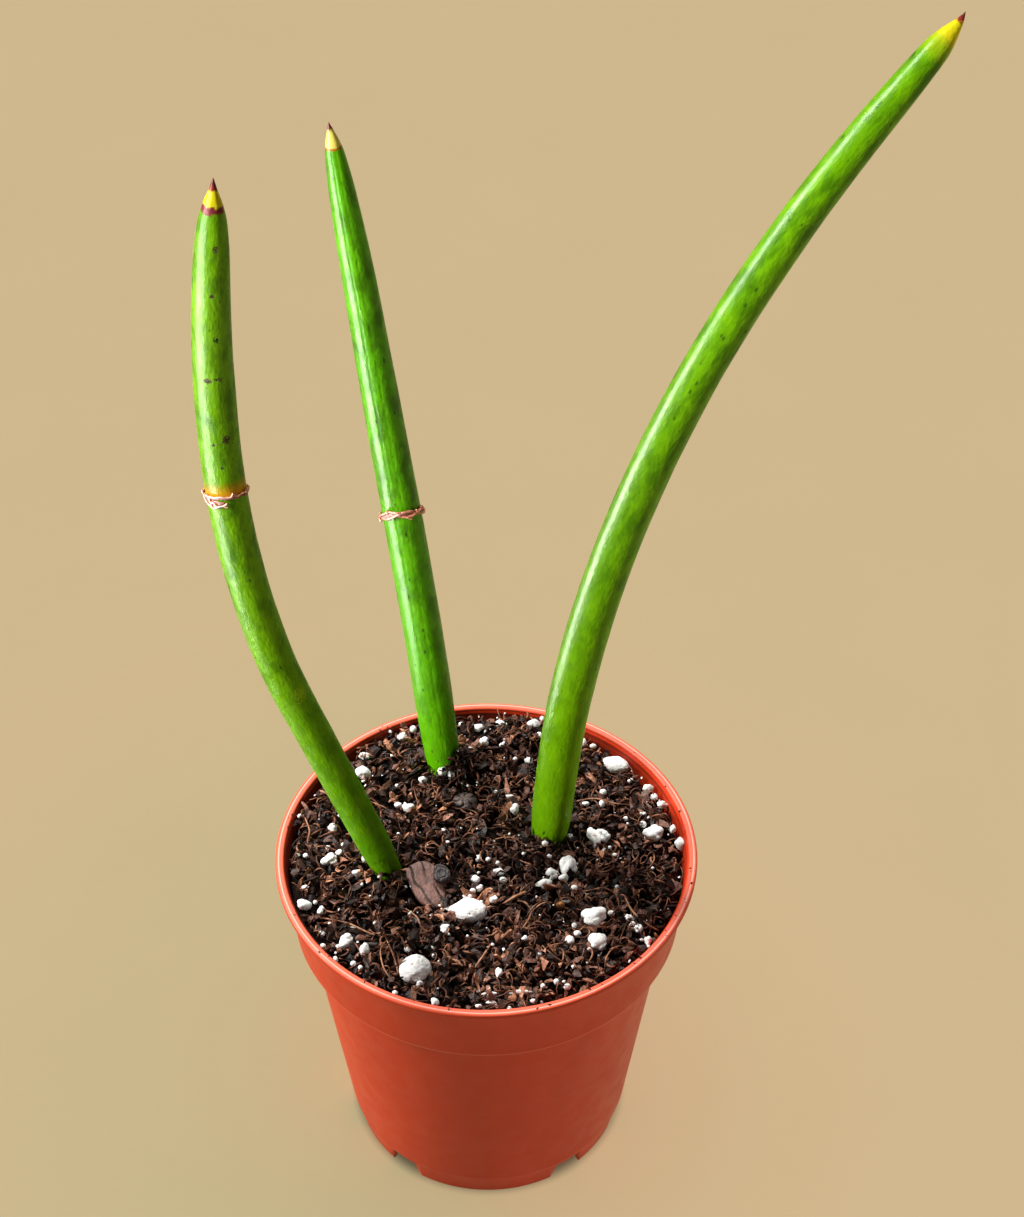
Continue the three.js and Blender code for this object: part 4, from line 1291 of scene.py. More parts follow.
middle_dark = band_mesh(middle_leaf, MIDDLE_RING, middle_band)
loops = [[twisted(3 * k, side) for k in range(120)] for side in (-1, 1)]
middle_pale = strand_mesh(loops, 10, closed=True)
loose_ends = [
    [(205, 0.6), (196, -0.3), (200, -1.6)],
    [(232, 1.0), (240, 1.7), (262, 1.2), (275, 0.9)],
    [(288, -0.8), (296, -1.3), (300, -1.5)],
    [(318, 1.0), (326, 0.2), (336, 0.9), (344, 1.6)],
]
ends = [line_round(middle_leaf, MIDDLE_RING, line, 0.6, 0.33) for line in loose_ends]
join(middle_pale, strand_mesh(ends, 8))
KNOBS = [(241, 1.55, 0.62), (201, -1.5, 0.45), (299, -1.45, 0.42), (342, 1.3, 0.5), (95, 0.2, 0.6)]
for heading, up, size in KNOBS:
    place = Matrix.Translation(round_leaf(middle_leaf, MIDDLE_RING, heading, 0.55, up))
    bmesh.ops.create_icosphere(middle_pale, subdivisions=3, radius=size, matrix=place)


# %% Dry sheath
def dry_material(name, pale, dark, roughness):
    material, tree, shader, place = new_material(name, roughness=roughness)
    colour = two_tone(tree, place, pale, dark, size=0.9, softness=0.15)
    set_surface(tree, shader, colour, place_group(tree, GRAIN, place, size=0.25, coarse=0.8), depth=0.12)
    return material


PALE_SHEATH = dry_material("pale_sheath", (0.92, 0.56, 0.42, 1), (0.62, 0.20, 0.11, 1), 0.5)
DARK_SHEATH_AND_SHADE = dry_material("dark_sheath_and_shade", (0.42, 0.075, 0.025, 1), (0.12, 0.016, 0.010, 1), 0.6)
COPPER_SHEATH = dry_material("copper_sheath", (0.88, 0.40, 0.25, 1), (0.42, 0.10, 0.045, 1), 0.4)
finish_piece(left_dark_and_shade, "left_ring_band", DARK_SHEATH_AND_SHADE, "dry_ring", "left_leaf_ring")
finish_piece(left_pale, "left_ring_strands", PALE_SHEATH, "dry_ring", "left_leaf_ring")
finish_piece(middle_dark, "middle_ring_band", DARK_SHEATH_AND_SHADE, "dry_ring", "middle_leaf_ring")
finish_piece(middle_pale, "middle_ring_strands", COPPER_SHEATH, "dry_ring", "middle_leaf_ring")

# %% [markdown]
# ## Perlite and bark
# Perlite is volcanic glass puffed up by heat: white, lumpy and light, with pin holes where bubbles burst.
# Bark breaks into flat purple-brown flakes with cracks along its layers. Both start as a finely divided
# ball, because a ball has even faces and no seam, and a formula pushes its points in or out. A popcorn
# lump is a cluster of balls seen from its middle: each point moves out to the farthest ball.

# %% Lumps
LUMP_SUNK = 0.35
LUMP_UNEVENNESS = 0.035
LOBES = 10
LUMP_CORE = 0.68
PIN_HOLES = 8
PIN_HOLE_WIDTH = 0.075
FINE_LUMP_SIZE = 8.5
LARGE_PERLITE = [
    ("perlite_teardrop", (-5.5, -21), (12, 8, 6), -6, 0.9, 0.0),
    ("perlite_ball", (-19, -42), (9, 8.6, 7.4), 30, 0, 0.15),
    ("perlite_front_right", (30.5, -22), (8.8, 7.4, 5.8), 15, 0.1, 1.0),
    ("perlite_front_right_small", (31, -31), (6.6, 5.8, 5), 70, 0, 0.7),
    ("perlite_centre_right", (23, -4.5), (8.4, 5.6, 5), 78, 0.2, 0.9),
    ("perlite_centre", (16.4, -11), (5.8, 4.6, 4.2), 20, 0.1, 0.8),
    ("perlite_behind_leaf", (31, 7.4), (8, 5, 4.8), 100, 0.3, 0.9),
    ("perlite_right", (48, 10), (6.8, 6, 4.8), 25, 0, 1.0),
    ("perlite_back_right", (38, 37), (8.6, 6, 4.6), -20, 0.2, 0.1),
    ("perlite_back_left", (-36.5, 32), (5, 4.6, 4.2), 0, 0, 0.7),
    ("perlite_left", (-44.5, -2.5), (5.4, 4.4, 4), 30, 0.1, 0.9),
    ("perlite_front_left", (-38.5, -32), (5.2, 4.4, 4), 50, 0.1, 0.9),
]


def ball(subdivisions):
    bm = bmesh.new()
    bmesh.ops.create_icosphere(bm, subdivisions=subdivisions, radius=1)
    return bm


def any_direction(draw):
    return Vector([draw.gauss(0, 1) for _ in range(3)]).normalized()


def uneven(x, y, z, phase):
    """The slow waves of a lump's surface."""
    waves = math.sin(5 * x + 3 * y + phase) * math.cos(4 * z - 2 * y + phase)
    return 1 + LUMP_UNEVENNESS * waves


def cluster_reach(direction, balls):
    """How far a cluster of balls reaches from its middle. Each ball is a centre and a radius."""
    reach = LUMP_CORE
    for centre, radius in balls:
        along = direction.dot(centre)
        inside = radius ** 2 - centre.length_squared + along ** 2
        if inside > 0:
            reach = max(reach, along + math.sqrt(inside))
    return reach


def perlite_lump(size, turn, point, lobed, phase, subdivisions):
    """A lump of perlite about its own centre, with its pin holes as an attribute."""
    draw = random.Random(100 + phase)
    bm = ball(subdivisions)
    hole_layer = bm.verts.layers.float.new("hole")
    holes = [any_direction(draw) for _ in range(PIN_HOLES)]
    balls = []
    for _ in range(LOBES):
        balls.append((any_direction(draw) * draw.uniform(0.45, 0.62), draw.uniform(0.36, 0.5)))
    for vert in bm.verts:
        x, y, z = start = vert.co.copy()
        bump = uneven(x, y, z, phase) + lobed * (cluster_reach(start, balls) - 1)
        bump += 0.04 * noise.noise(start * 4 + Vector((0, phase, 0)))
        nearest = min((start - hole).length for hole in holes)
        vert[hole_layer] = math.exp(-((nearest / PIN_HOLE_WIDTH) ** 2) * 1.5)
        bump -= 0.09 * vert[hole_layer]
        waist = 1 - point * max(0, -x)
        vert.co = (x * bump, y * bump * waist, z * bump * waist)
    half = Matrix.LocRotScale(None, Euler((0, 0, math.radians(turn))), Vector(size) / 2)
    bmesh.ops.transform(bm, matrix=half, verts=bm.verts)
    return bm


# %% Perlite
def perlite_material():
    material, tree, shader, place = new_material("white_perlite", roughness=0.85)
    white, shade, stain = (0.93, 0.92, 0.91, 1), (0.78, 0.75, 0.72, 1), (0.36, 0.17, 0.07, 1)
    pit_tone, hole_shade = (0.12, 0.09, 0.075, 1), (0.02, 0.012, 0.010, 1)
    colour = two_tone(tree, place, white, shade, size=1.6, level=0.58, softness=0.15)
    stained = place_group(tree, CLOUDS, place, size=3.0, level=0.70, softness=0.04)
    colour = paint(tree, colour, stain, stained, 0.8)
    pits = place_group(tree, SPECKS, place, spacing=1.5, radius=0.17, share=0.12)
    colour = mix(tree, pits, colour, pit_tone)
    # The pin holes are sunk and painted nearly black, as painted shade in them.
    colour = mix(tree, fade(tree, carried(tree, "hole"), 0.35, 0.8), colour, hole_shade)
    set_surface(tree, shader, colour, place_group(tree, GRAIN, place, size=0.4, coarse=0.8), depth=0.12)
    return material


PERLITE = perlite_material()
for phase, (name, (x, y), size, turn, point, lobed) in enumerate(LARGE_PERLITE):
    subdivisions = 5 if size[0] > FINE_LUMP_SIZE else 4
    lump = perlite_lump(size, turn, point, lobed, phase, subdivisions)
    centre = Vector((x, y, mix_height(x, y) + size[2] * (0.5 - LUMP_SUNK)))
    bmesh.ops.translate(lump, vec=centre, verts=lump.verts)
    finish_piece(lump, name.replace("perlite", "white_lump"), PERLITE, "perlite", name)

# %% [markdown]
# Bark: the ball is pressed into a slab with round edges, and its outline gets the wavy reach of the solid.
# Bark grows in plates, so two wandering grooves run along the slab and the plates between them lie at
# different heights. Finer cracks are sunk where a noise passes through zero, because that draws thin
# wandering lines.

# %% Bark pieces
BARK_CHIP = {"at": (-16.5, -12), "size": (15.5, 10.8, 2.4), "turn": 14, "tilt": 16}
BARK_KNOT = {"at": (4.3, 1.0), "size": (5.6, 4.8, 2.2)}
ROUND_BARK = {"at": (-6.5, 20.5), "size": (7.4, 6.6, 3.6), "turn": 20}
CHIP_LIFT = 1.1
SLAB_SQUARENESS = 0.4
PLATE_GROOVES = (-0.42, 0.30)
PLATE_STEP = 0.3
PLATE_TURN = 14
PLATE_WAIST = 0.93


def groove(distance, width):
    """1 in the middle of a groove and 0 beside it."""
    return math.exp(-((distance / width) ** 2))


def slab_mesh(size, phase, subdivisions, plated, seed):
    """A flat piece of bark about its own centre, with its cracks as an attribute."""
    length, width, thick = size
    bm = ball(subdivisions)
    hole_layer = bm.verts.layers.float.new("hole")
    for vert in bm.verts:
        x, y, z = vert.co
        angle = math.atan2(y, x)
        reach = 1 + 0.05 * math.sin(3 * angle + phase) + 0.03 * math.cos(5 * angle + phase)
        planar = math.hypot(x, y) ** SLAB_SQUARENESS * reach
        upright = math.copysign(abs(z) ** SLAB_SQUARENESS, z)
        across, along = math.cos(angle) * planar, math.sin(angle) * planar
        fine = noise.noise(Vector((across * 2.2, along * 1.1, seed)))
        crack = 0.55 * groove(fine, 0.05)
        level = 0
        if not plated:
            ring = math.hypot(across, along) + 0.06 * math.sin(5 * angle + seed)
            crack = max(crack, 0.5 * groove(ring - 0.66, 0.05), 0.5 * groove(ring - 0.34, 0.05))
        else:
            wander = across + 0.12 * math.sin(2.4 * along + 1) + 0.05 * math.sin(7 * along)
            crack = max(crack * 0.5, *(groove(wander - at, 0.055) for at in PLATE_GROOVES))
            level = PLATE_STEP * (0.5 if PLATE_GROOVES[0] < wander < PLATE_GROOVES[1] else -0.5)
        vert[hole_layer] = crack
        rough = noise.fractal(Vector((across * 5, along * 1.6, upright + seed)), 1.0, 2.0, 3)
        top = max(0, upright)
        height = upright * thick / 2 + 0.10 * rough + (level - 0.45 * crack) * top
        vert.co = (across * width / 2 * (PLATE_WAIST if plated else 1), along * length / 2, height)
    if plated:
        turn = Matrix.Rotation(math.radians(PLATE_TURN), 4, "Z")
        bmesh.ops.transform(bm, matrix=turn, verts=bm.verts)
    return bm


def chip_place(lift):
    """The place of the large chip: turned, and tilted so that its upper face looks to the front."""
    x, y = BARK_CHIP["at"]
    spot = Matrix.Translation((x, y, mix_height(x, y) + CHIP_LIFT))
    tilt = Matrix.Rotation(math.radians(BARK_CHIP["tilt"]), 4, "X")
    turn = Matrix.Rotation(math.radians(BARK_CHIP["turn"]), 4, "Z")
    return spot @ tilt @ turn @ Matrix.Translation((0, 0, lift))


# %% Bark
def bark_material(name, light, dark):
    material, tree, shader, place = new_material(name, roughness=0.55)
    colour = two_tone(tree, place, light, dark, size=2.2, softness=0.2)
    streaks = vector(tree, "MULTIPLY", place, (1.0, 0.3, 1.0))
    fine = place_group(tree, CLOUDS, streaks, size=0.6, softness=0.2)
    colour = paint(tree, colour, dark, fine, 0.35)
    crack_shade = (0.008, 0.004, 0.003, 1)
    # Cracks, grooves and folds are sunk and painted nearly black, as painted shade in them.
    colour = mix(tree, carried(tree, "hole"), colour, crack_shade)
    colour = paint(tree, colour, PEAT_DUST_AND_SHADE, place_group(tree, DUST, place, amount=0.15), 0.6)
    set_surface(tree, shader, colour, place_group(tree, GRAIN, streaks, size=0.4, coarse=1.0), depth=0.15)
    return material


chip = slab_mesh(BARK_CHIP["size"], 0.8, 6, True, 4.0)
bmesh.ops.transform(chip, matrix=chip_place(0), verts=chip.verts)
chip_bark = bark_material("purple_bark", (0.24, 0.100, 0.072, 1), (0.12, 0.050, 0.038, 1))
finish_piece(chip, "bark_flake", chip_bark, "bark", "bark_chip")

knot = slab_mesh(BARK_KNOT["size"], 2.4, 5, False, 9.0)
knot_lift = BARK_CHIP["size"][2] / 2 + GAP + BARK_KNOT["size"][2] / 2
knot_spot = chip_place(knot_lift) @ Matrix.Translation((*BARK_KNOT["at"], 0))
bmesh.ops.transform(knot, matrix=knot_spot, verts=knot.verts)
dark_bark = bark_material("dark_bark", (0.060, 0.044, 0.042, 1), (0.026, 0.018, 0.017, 1))
finish_piece(knot, "bark_knot_disc", dark_bark, "bark", "bark_knot")


def round_bark_mesh():
    """A scale of a cone or a husk: a ball whose skin is folded into a rosette."""
    phase = 4
    bm = ball(5)
    hole_layer = bm.verts.layers.float.new("hole")
    for vert in bm.verts:
        x, y, z = start = vert.co.copy()
        spoke = math.cos(6 * math.atan2(y, x) + 2.5 * noise.noise(start * 2))
        rim = math.hypot(x, y)
        fold = max(0, spoke) ** 4 * min(1, 3 * rim)
        vert[hole_layer] = fold ** 2
        bump = uneven(x, y, z, phase) + 0.06 * noise.noise(start * 3) - 0.22 * fold
        vert.co = start * bump
        vert.co.z -= 0.25 * groove(rim, 0.3) * max(0, z)
    (x, y), size = ROUND_BARK["at"], ROUND_BARK["size"]
    centre = Vector((x, y, mix_height(x, y) + size[2] * (0.5 - LUMP_SUNK)))
    place = Matrix.LocRotScale(centre, Euler((0, 0, math.radians(ROUND_BARK["turn"]))), Vector(size) / 2)
    bmesh.ops.transform(bm, matrix=place, verts=bm.verts)
    return bm


round_tone = bark_material("brown_bark", (0.10, 0.062, 0.052, 1), (0.040, 0.024, 0.020, 1))
finish_piece(round_bark_mesh(), "round_bark_piece", round_tone, "bark", "round_bark")

# %% [markdown]
# ## The loose stuff on top
# Thousands of crumbs, shreds, fibres and grains make the mix look like itself. Each kind has a few small
# templates, and copies of them are turned, stretched and joined into one mesh. Every copy carries a tint
# number, which its material turns into a colour, so no two neighbours look alike. They lie in a loose
# layer a few millimetres deep over a bed painted nearly black, as painted shade, and that shade shows in
# the gaps between them.

# %% Spots on the mix
LEAF_ROOM = [(leaf.foot, leaf.radius(leaf.length - 32)) for leaf in (left_leaf, middle_leaf, right_leaf)]
LUMP_ROOM = [(Vector(at), size[:2], turn) for _, at, size, turn, *_ in LARGE_PERLITE]
LUMP_ROOM.append((Vector(BARK_CHIP["at"]), (10.8, 15.5), BARK_CHIP["turn"]))
LUMP_ROOM.append((Vector(ROUND_BARK["at"]), ROUND_BARK["size"][:2], ROUND_BARK["turn"]))
ROOM_SHARE = 0.9


def is_free(x, y, reach):
    """True if a small thing of that reach lies clear of the wall, the leaves and the large pieces."""
    spot = Vector((x, y))
    if spot.length > bed_radius - reach * 0.8:
        return False
    if any((spot - foot.xy).length < radius + reach * 0.55 for foot, radius in LEAF_ROOM):
        return False
    for centre, (length, width), turn in LUMP_ROOM:
        offset = Matrix.Rotation(-math.radians(turn), 2) @ (spot - centre)
        half_length, half_width = length / 2 * ROOM_SHARE, width / 2 * ROOM_SHARE
        if math.hypot(offset.x / half_length, offset.y / half_width) < 1:
            return False
    return True


def draw_spot(draw, reach):
    """A free spot, drawn evenly over the mix."""
    while True:
        out = bed_radius * math.sqrt(draw.random())
        angle = draw.random() * math.tau
        x, y = out * math.cos(angle), out * math.sin(angle)
        if is_free(x, y, reach):
            return x, y


# %% Templates and copies
def crumb_template(draw, corners):
    """A small angular crumb: the hull of a few points on a ball."""
    bm = bmesh.new()
    bm.verts.layers.float.new("tint")
    for _ in range(corners):
        bm.verts.new(any_direction(draw) * draw.uniform(0.8, 1.0))
    hull = bmesh.ops.convex_hull(bm, input=bm.verts)
    inner = [item for item in hull["geom_interior"] if isinstance(item, bmesh.types.BMVert)]
    bmesh.ops.delete(bm, geom=inner, context="VERTS")
    return as_template(bm)


def clod_template(draw):
    """A ragged clod: a ball with few corners, each pulled in or out."""
    bm = bmesh.new()
    bm.verts.layers.float.new("tint")
    bmesh.ops.create_icosphere(bm, subdivisions=1, radius=1)
    for vert in bm.verts:
        vert.co *= draw.uniform(0.4, 1.2)
    return as_template(bm)


def shred_template(draw):
    """A torn strip of peat, bent round and twisted."""
    bm = bmesh.new()
    bm.verts.layers.float.new("tint")
    bmesh.ops.create_grid(bm, x_segments=5, y_segments=1, size=1)
    bend, twist = draw.choice((-1, 1)) * draw.uniform(0.3, 1.9), draw.uniform(-1.3, 1.3)
    for vert in bm.verts:
        x, y, _ = vert.co
        side = y * (1 - 0.6 * x * x + draw.uniform(-0.35, 0.2))
        round_x, round_z = math.sin(bend * x) / bend, (1 - math.cos(bend * x)) / bend
        vert.co = (round_x, side * math.cos(twist * x), round_z + side * math.sin(twist * x))
    bmesh.ops.recalc_face_normals(bm, faces=bm.faces)
    bmesh.ops.solidify(bm, geom=bm.faces[:], thickness=0.2)
    return as_template(bm)


def as_template(bm):
    mesh = bpy.data.meshes.new("template")
    bm.to_mesh(mesh)
    bm.free()
    return mesh


class Heap:
    """Copies of small templates, joined in one mesh."""

    def __init__(self):
        self.bm = bmesh.new()
        self.bm.verts.layers.float.new("tint")

    def add(self, template, place, tint):
        template.attributes["tint"].data.foreach_set("value", [tint] * len(template.vertices))
        template.transform(place)
        self.bm.from_mesh(template)
        template.transform(place.inverted())


def tumbled(draw, x, y, lift, size, tilt):
    """A place on the mix, turned freely about the upright and tilted by up to the given angle."""
    turn = Euler((draw.uniform(-tilt, tilt), draw.uniform(-tilt, tilt), draw.uniform(0, math.tau)))
    return Matrix.LocRotScale(Vector((x, y, heaped_height(x, y) + lift)), turn, Vector(size))


# %% Tinted material
def tinted_material(name, tones, roughness, grain_depth):
    material, tree, shader, place = new_material(name, roughness=roughness, specular=0.22)
    stops = [(k / (len(tones) - 1), (*tone, 1)) for k, tone in enumerate(tones)]
    colour = ramp(tree, carried(tree, "tint"), stops).outputs["Color"]
    darker = mix(tree, 1.0, colour, (0.45, 0.40, 0.38, 1), blend_type="MULTIPLY")
    colour = two_tone(tree, place, colour, darker, size=0.8, softness=0.2)
    set_surface(tree, shader, colour, place_group(tree, GRAIN, place, size=0.3, coarse=1.0), grain_depth)
    return material


# %% Peat crumbs
CRUMB_COUNT = 1500
HEAP_CRUMBS = 80
CRUMB_TONES = [
    (0.004, 0.002, 0.001), (0.026, 0.011, 0.008), (0.088, 0.040, 0.029), (0.22, 0.105, 0.072),
    (0.46, 0.21, 0.12),
]

draw = random.Random(11)
crumbs = [crumb_template(draw, 11) for _ in range(6)] + [clod_template(draw) for _ in range(12)]
crumb_heap = Heap()


def add_crumb(x, y, length):
    size = (length / 2, length / 2 * draw.uniform(0.4, 0.85), length / 2 * draw.uniform(0.35, 0.75))
    place = tumbled(draw, x, y, draw.uniform(-2.8, 0.8), size, 1.4)
    crumb_heap.add(draw.choice(crumbs), place, draw.random() ** 1.5)


for k in range(CRUMB_COUNT):
    length = 1.6 + 3.8 * draw.random() ** 2
    add_crumb(*draw_spot(draw, length / 2), length)
for (heap_x, heap_y), _, reach in HEAPS[:3]:
    for k in range(HEAP_CRUMBS):
        x, y = heap_x + draw.gauss(0, reach * 0.6), heap_y + draw.gauss(0, reach * 0.6)
        if is_free(x, y, 0.6):
            add_crumb(x, y, 1 + 2 * draw.random())
PEAT_CRUMBS = tinted_material("peat_crumbs", CRUMB_TONES, 0.42, 0.15)
finish_piece(crumb_heap.bm, "peat_crumbs", PEAT_CRUMBS, "potting_mix", smooth=False)

# %% Torn shreds
SHRED_COUNT = 1700
SHRED_TONES = [
    (0.004, 0.002, 0.001), (0.031, 0.014, 0.010), (0.12, 0.054, 0.039), (0.33, 0.153, 0.105),
    (0.68, 0.315, 0.175),
]

draw = random.Random(16)
shreds = [shred_template(draw) for _ in range(14)]
shred_heap = Heap()
for k in range(SHRED_COUNT):
    length = 3.4 + 5.6 * draw.random() ** 1.6
    x, y = draw_spot(draw, length * 0.35)
    size = (length / 2, length / 2 * draw.uniform(0.10, 0.30), length / 2 * draw.uniform(0.35, 0.8))
    lift = draw.uniform(-1.6, 1.7)
    shred_heap.add(draw.choice(shreds), tumbled(draw, x, y, lift, size, 0.9), draw.random() ** 1.3)
TORN_PEAT = tinted_material("torn_peat", SHRED_TONES, 0.36, 0.1)
finish_piece(shred_heap.bm, "peat_shreds", TORN_PEAT, "potting_mix", smooth=False)

# %% Bark chips
BARK_COUNT = 260
BARK_TONES = [(0.012, 0.007, 0.006), (0.040, 0.023, 0.020), (0.09, 0.051, 0.042), (0.20, 0.094, 0.066)]

draw = random.Random(12)
flat_crumbs = [crumb_template(draw, 14) for _ in range(8)]
bark_heap = Heap()
for k in range(BARK_COUNT):
    length = 3.0 + 3.6 * draw.random() ** 1.5
    x, y = draw_spot(draw, length / 2)
    size = (length / 2, length * draw.uniform(0.25, 0.42), draw.uniform(0.3, 0.6))
    place = tumbled(draw, x, y, draw.uniform(0.2, 1.4), size, 0.7)
    bark_heap.add(draw.choice(flat_crumbs), place, draw.random())
BARK_CRUMBS = tinted_material("bark_chips", BARK_TONES, 0.45, 0.15)
finish_piece(bark_heap.bm, "bark_chips", BARK_CRUMBS, "bark", smooth=False)

# %% [markdown]
# Coir fibres are the springy threads of coconut husk. Each is a short wandering line that lies over the
# crumbs with its ends tucked in: many short curls, and some long threads. They are drawn as thin strands
# with four sides, which is enough at this size, and all of them become one mesh.

# %% Coir fibres
CURL_COUNT = 850
THREAD_COUNT = 150
FIBRE_TONES = [(0.03, 0.013, 0.009), (0.10, 0.040, 0.024), (0.26, 0.100, 0.052), (0.50, 0.24, 0.13)]


def fibre_path(draw, length, curliness, thick, arch):
    """A fibre's places and radii along the mix."""
    x, y = draw_spot(draw, 1)
    heading = draw.random() * math.tau
    steps = max(4, round(length / 0.9))
    curl = draw.gauss(0, curliness)
    path = []
    for k in range(steps + 1):
        share = k / steps
        lift = arch * math.sin(math.pi * share) + draw.uniform(-0.12, 0.12) - 0.3
        if not is_free(x, y, 0.6):
            break
        spot = Vector((x, y, heaped_height(x, y) + lift))
        path.append((spot, thick * (1 - 0.6 * abs(2 * share - 1) ** 2)))
        curl += draw.gauss(0, curliness / 3)
        heading += curl
        x += math.cos(heading) * length / steps
        y += math.sin(heading) * length / steps
    return path


draw = random.Random(13)
paths = []
for k in range(CURL_COUNT):
    length = draw.uniform(3, 9)
    paths.append(fibre_path(draw, length, 0.4, draw.uniform(0.14, 0.36), draw.uniform(0.8, 3.4)))
for k in range(THREAD_COUNT):
    length = draw.uniform(8, 20)
    paths.append(fibre_path(draw, length, 0.14, draw.uniform(0.13, 0.24), draw.uniform(1.4, 2.8)))
COIR = tinted_material("coir", FIBRE_TONES, 0.42, 0.08)


def fibre_mesh(paths, middle):
    """Fibres as one mesh, with tints that drift round a middle one."""
    bm = strand_mesh([path for path in paths if len(path) > 2], 4)
    tint_layer = bm.verts.layers.float.new("tint")
    for vert in bm.verts:
        vert[tint_layer] = middle + 1.0 * noise.noise(vert.co / 3)
    return bm


finish_piece(fibre_mesh(paths, 0.45), "coir_fibres", COIR, "potting_mix")

# %% [markdown]
# Small perlite lies everywhere in the mix. The grains that can be told apart in the photograph are set
# where they are seen: their pixels were read off an enlargement of the soil, and a ray from the
# camera through such a pixel meets the mix at the grain's place. The finest grains are drawn at random.

# %% Grains read from the photograph
PICTURE_WIDTH_PIXELS = 1024
ENLARGED_LEFT = 261
ENLARGED_TOP = 689
ENLARGEMENT = 3.469
ENLARGED_PIXELS_PER_MM = 12.2
GRAIN_LIFT = 1.3
LARGE_GRAIN = 2.4
CAMERA_TURN = Euler((math.radians(90 - CAMERA_DIP), 0, 0)).to_matrix()
SEEN_GRAINS = [
    (490, 165, 40, 35), (528, 140, 28, 30), (362, 232, 50, 35), (696, 122, 25, 18), (752, 135, 48, 40),
    (828, 122, 42, 36), (775, 182, 40, 35), (943, 122, 58, 44), (975, 105, 20, 25), (920, 160, 35, 22),
    (968, 160, 16, 25), (930, 250, 40, 30), (882, 243, 20, 20), (1120, 185, 20, 35), (1152, 198, 28, 20),
    (1343, 345, 46, 35), (1363, 375, 42, 28), (1392, 402, 45, 30), (1187, 358, 28, 24), (1183, 398, 24, 30),
    (1125, 397, 30, 18), (1265, 450, 20, 20), (1325, 470, 26, 28), (1428, 487, 30, 35), (1455, 540, 44, 55),
    (1195, 512, 40, 44), (1210, 550, 16, 14), (1228, 576, 20, 16), (1072, 510, 24, 20), (985, 535, 25, 20),
    (1087, 690, 28, 22), (1000, 580, 20, 14), (1058, 735, 36, 26), (1215, 778, 26, 22), (1087, 820, 20, 20),
    (1098, 848, 28, 24), (1073, 870, 38, 35), (1278, 795, 34, 34), (1310, 832, 34, 36), (1342, 875, 30, 38),
    (755, 588, 24, 28), (788, 592, 20, 20), (828, 635, 45, 28), (840, 662, 36, 22), (745, 662, 36, 34),
    (760, 690, 30, 26), (735, 700, 24, 20), (808, 730, 38, 30), (880, 418, 40, 45), (862, 373, 32, 18),
    (815, 356, 16, 14), (630, 285, 38, 42), (658, 298, 34, 46), (562, 318, 34, 34), (512, 412, 50, 40),
    (475, 403, 30, 25), (250, 482, 42, 38), (272, 440, 14, 14), (157, 578, 26, 20), (232, 550, 20, 16),
    (272, 568, 30, 24), (285, 540, 18, 16), (362, 588, 28, 36), (330, 638, 44, 30), (150, 747, 60, 42),
    (188, 740, 16, 16), (155, 688, 30, 16), (212, 848, 24, 22), (275, 892, 30, 16), (358, 905, 36, 56),
    (320, 952, 22, 20), (345, 966, 18, 18), (215, 892, 22, 20), (258, 940, 20, 28), (507, 903, 24, 22),
    (592, 900, 18, 18), (640, 830, 40, 36), (552, 1020, 30, 22), (465, 1055, 22, 20), (605, 1085, 34, 30),
    (825, 985, 32, 36), (795, 1058, 60, 18), (905, 1052, 95, 20), (945, 1082, 26, 16), (1025, 1015, 20, 22),
    (1062, 1032, 28, 24), (978, 1030, 18, 18), (755, 1100, 30, 16), (800, 1088, 40, 16), (1290, 815, 20, 20),
    (1008, 640, 58, 46), (1052, 655, 40, 34), (1180, 500, 44, 40),
]


def seen_at_height(x, y, height):
    """The place at that height that shows at a pixel of the enlargement."""
    right = (ENLARGED_LEFT + x / ENLARGEMENT - PICTURE_WIDTH_PIXELS / 2) / FOCAL_PIXELS
    up = (PICTURE_HEIGHT_PIXELS / 2 - ENLARGED_TOP - y / ENLARGEMENT) / FOCAL_PIXELS
    ray = CAMERA_TURN @ Vector((right, up, -1))
    return CAMERA_PLACE + ray * ((height - CAMERA_PLACE.z) / ray.z)


def seen_at(x, y, lift):
    """The place that far over the mix that shows at a pixel of the enlargement."""
    spot = seen_at_height(x, y, POT_HEIGHT)
    for _ in range(4):
        spot = seen_at_height(x, y, heaped_height(spot.x, spot.y) + lift)
    return spot


grains = bmesh.new()
for phase, (x, y, across, down) in enumerate(SEEN_GRAINS):
    length = across / ENLARGED_PIXELS_PER_MM
    tall = down / ENLARGED_PIXELS_PER_MM
    lobed, subdivisions = (0.9, 3) if length > LARGE_GRAIN else (0.3, 2)
    grain = perlite_lump((length, tall, tall), 0, 0, lobed, 20 + phase, subdivisions)
    bmesh.ops.translate(grain, vec=seen_at(x, y, GRAIN_LIFT), verts=grain.verts)
    join(grains, grain)
finish_piece(grains, "perlite_grains", PERLITE, "perlite")

# %% Fine grains
FINE_COUNT = 210
draw = random.Random(14)
grain_shapes = [crumb_template(draw, 20) for _ in range(8)]
fine_heap = Heap()
for k in range(FINE_COUNT):
    across = 0.6 + 1.3 * draw.random() ** 2
    x, y = draw_spot(draw, across / 2)
    half = tuple(across / 2 * draw.uniform(0.7, 1.2) for _ in range(3))
    fine_heap.add(draw.choice(grain_shapes), tumbled(draw, x, y, draw.uniform(0.6, 1.6), half, 3), 0)
finish_piece(fine_heap.bm, "perlite_dust", PERLITE, "perlite")

# %% [markdown]
# Some long threads and one amber crumb catch the eye in the photograph. They are laid the same way,
# through pixels read off, and each thread rises over the mix in the middle and dips in at its ends.

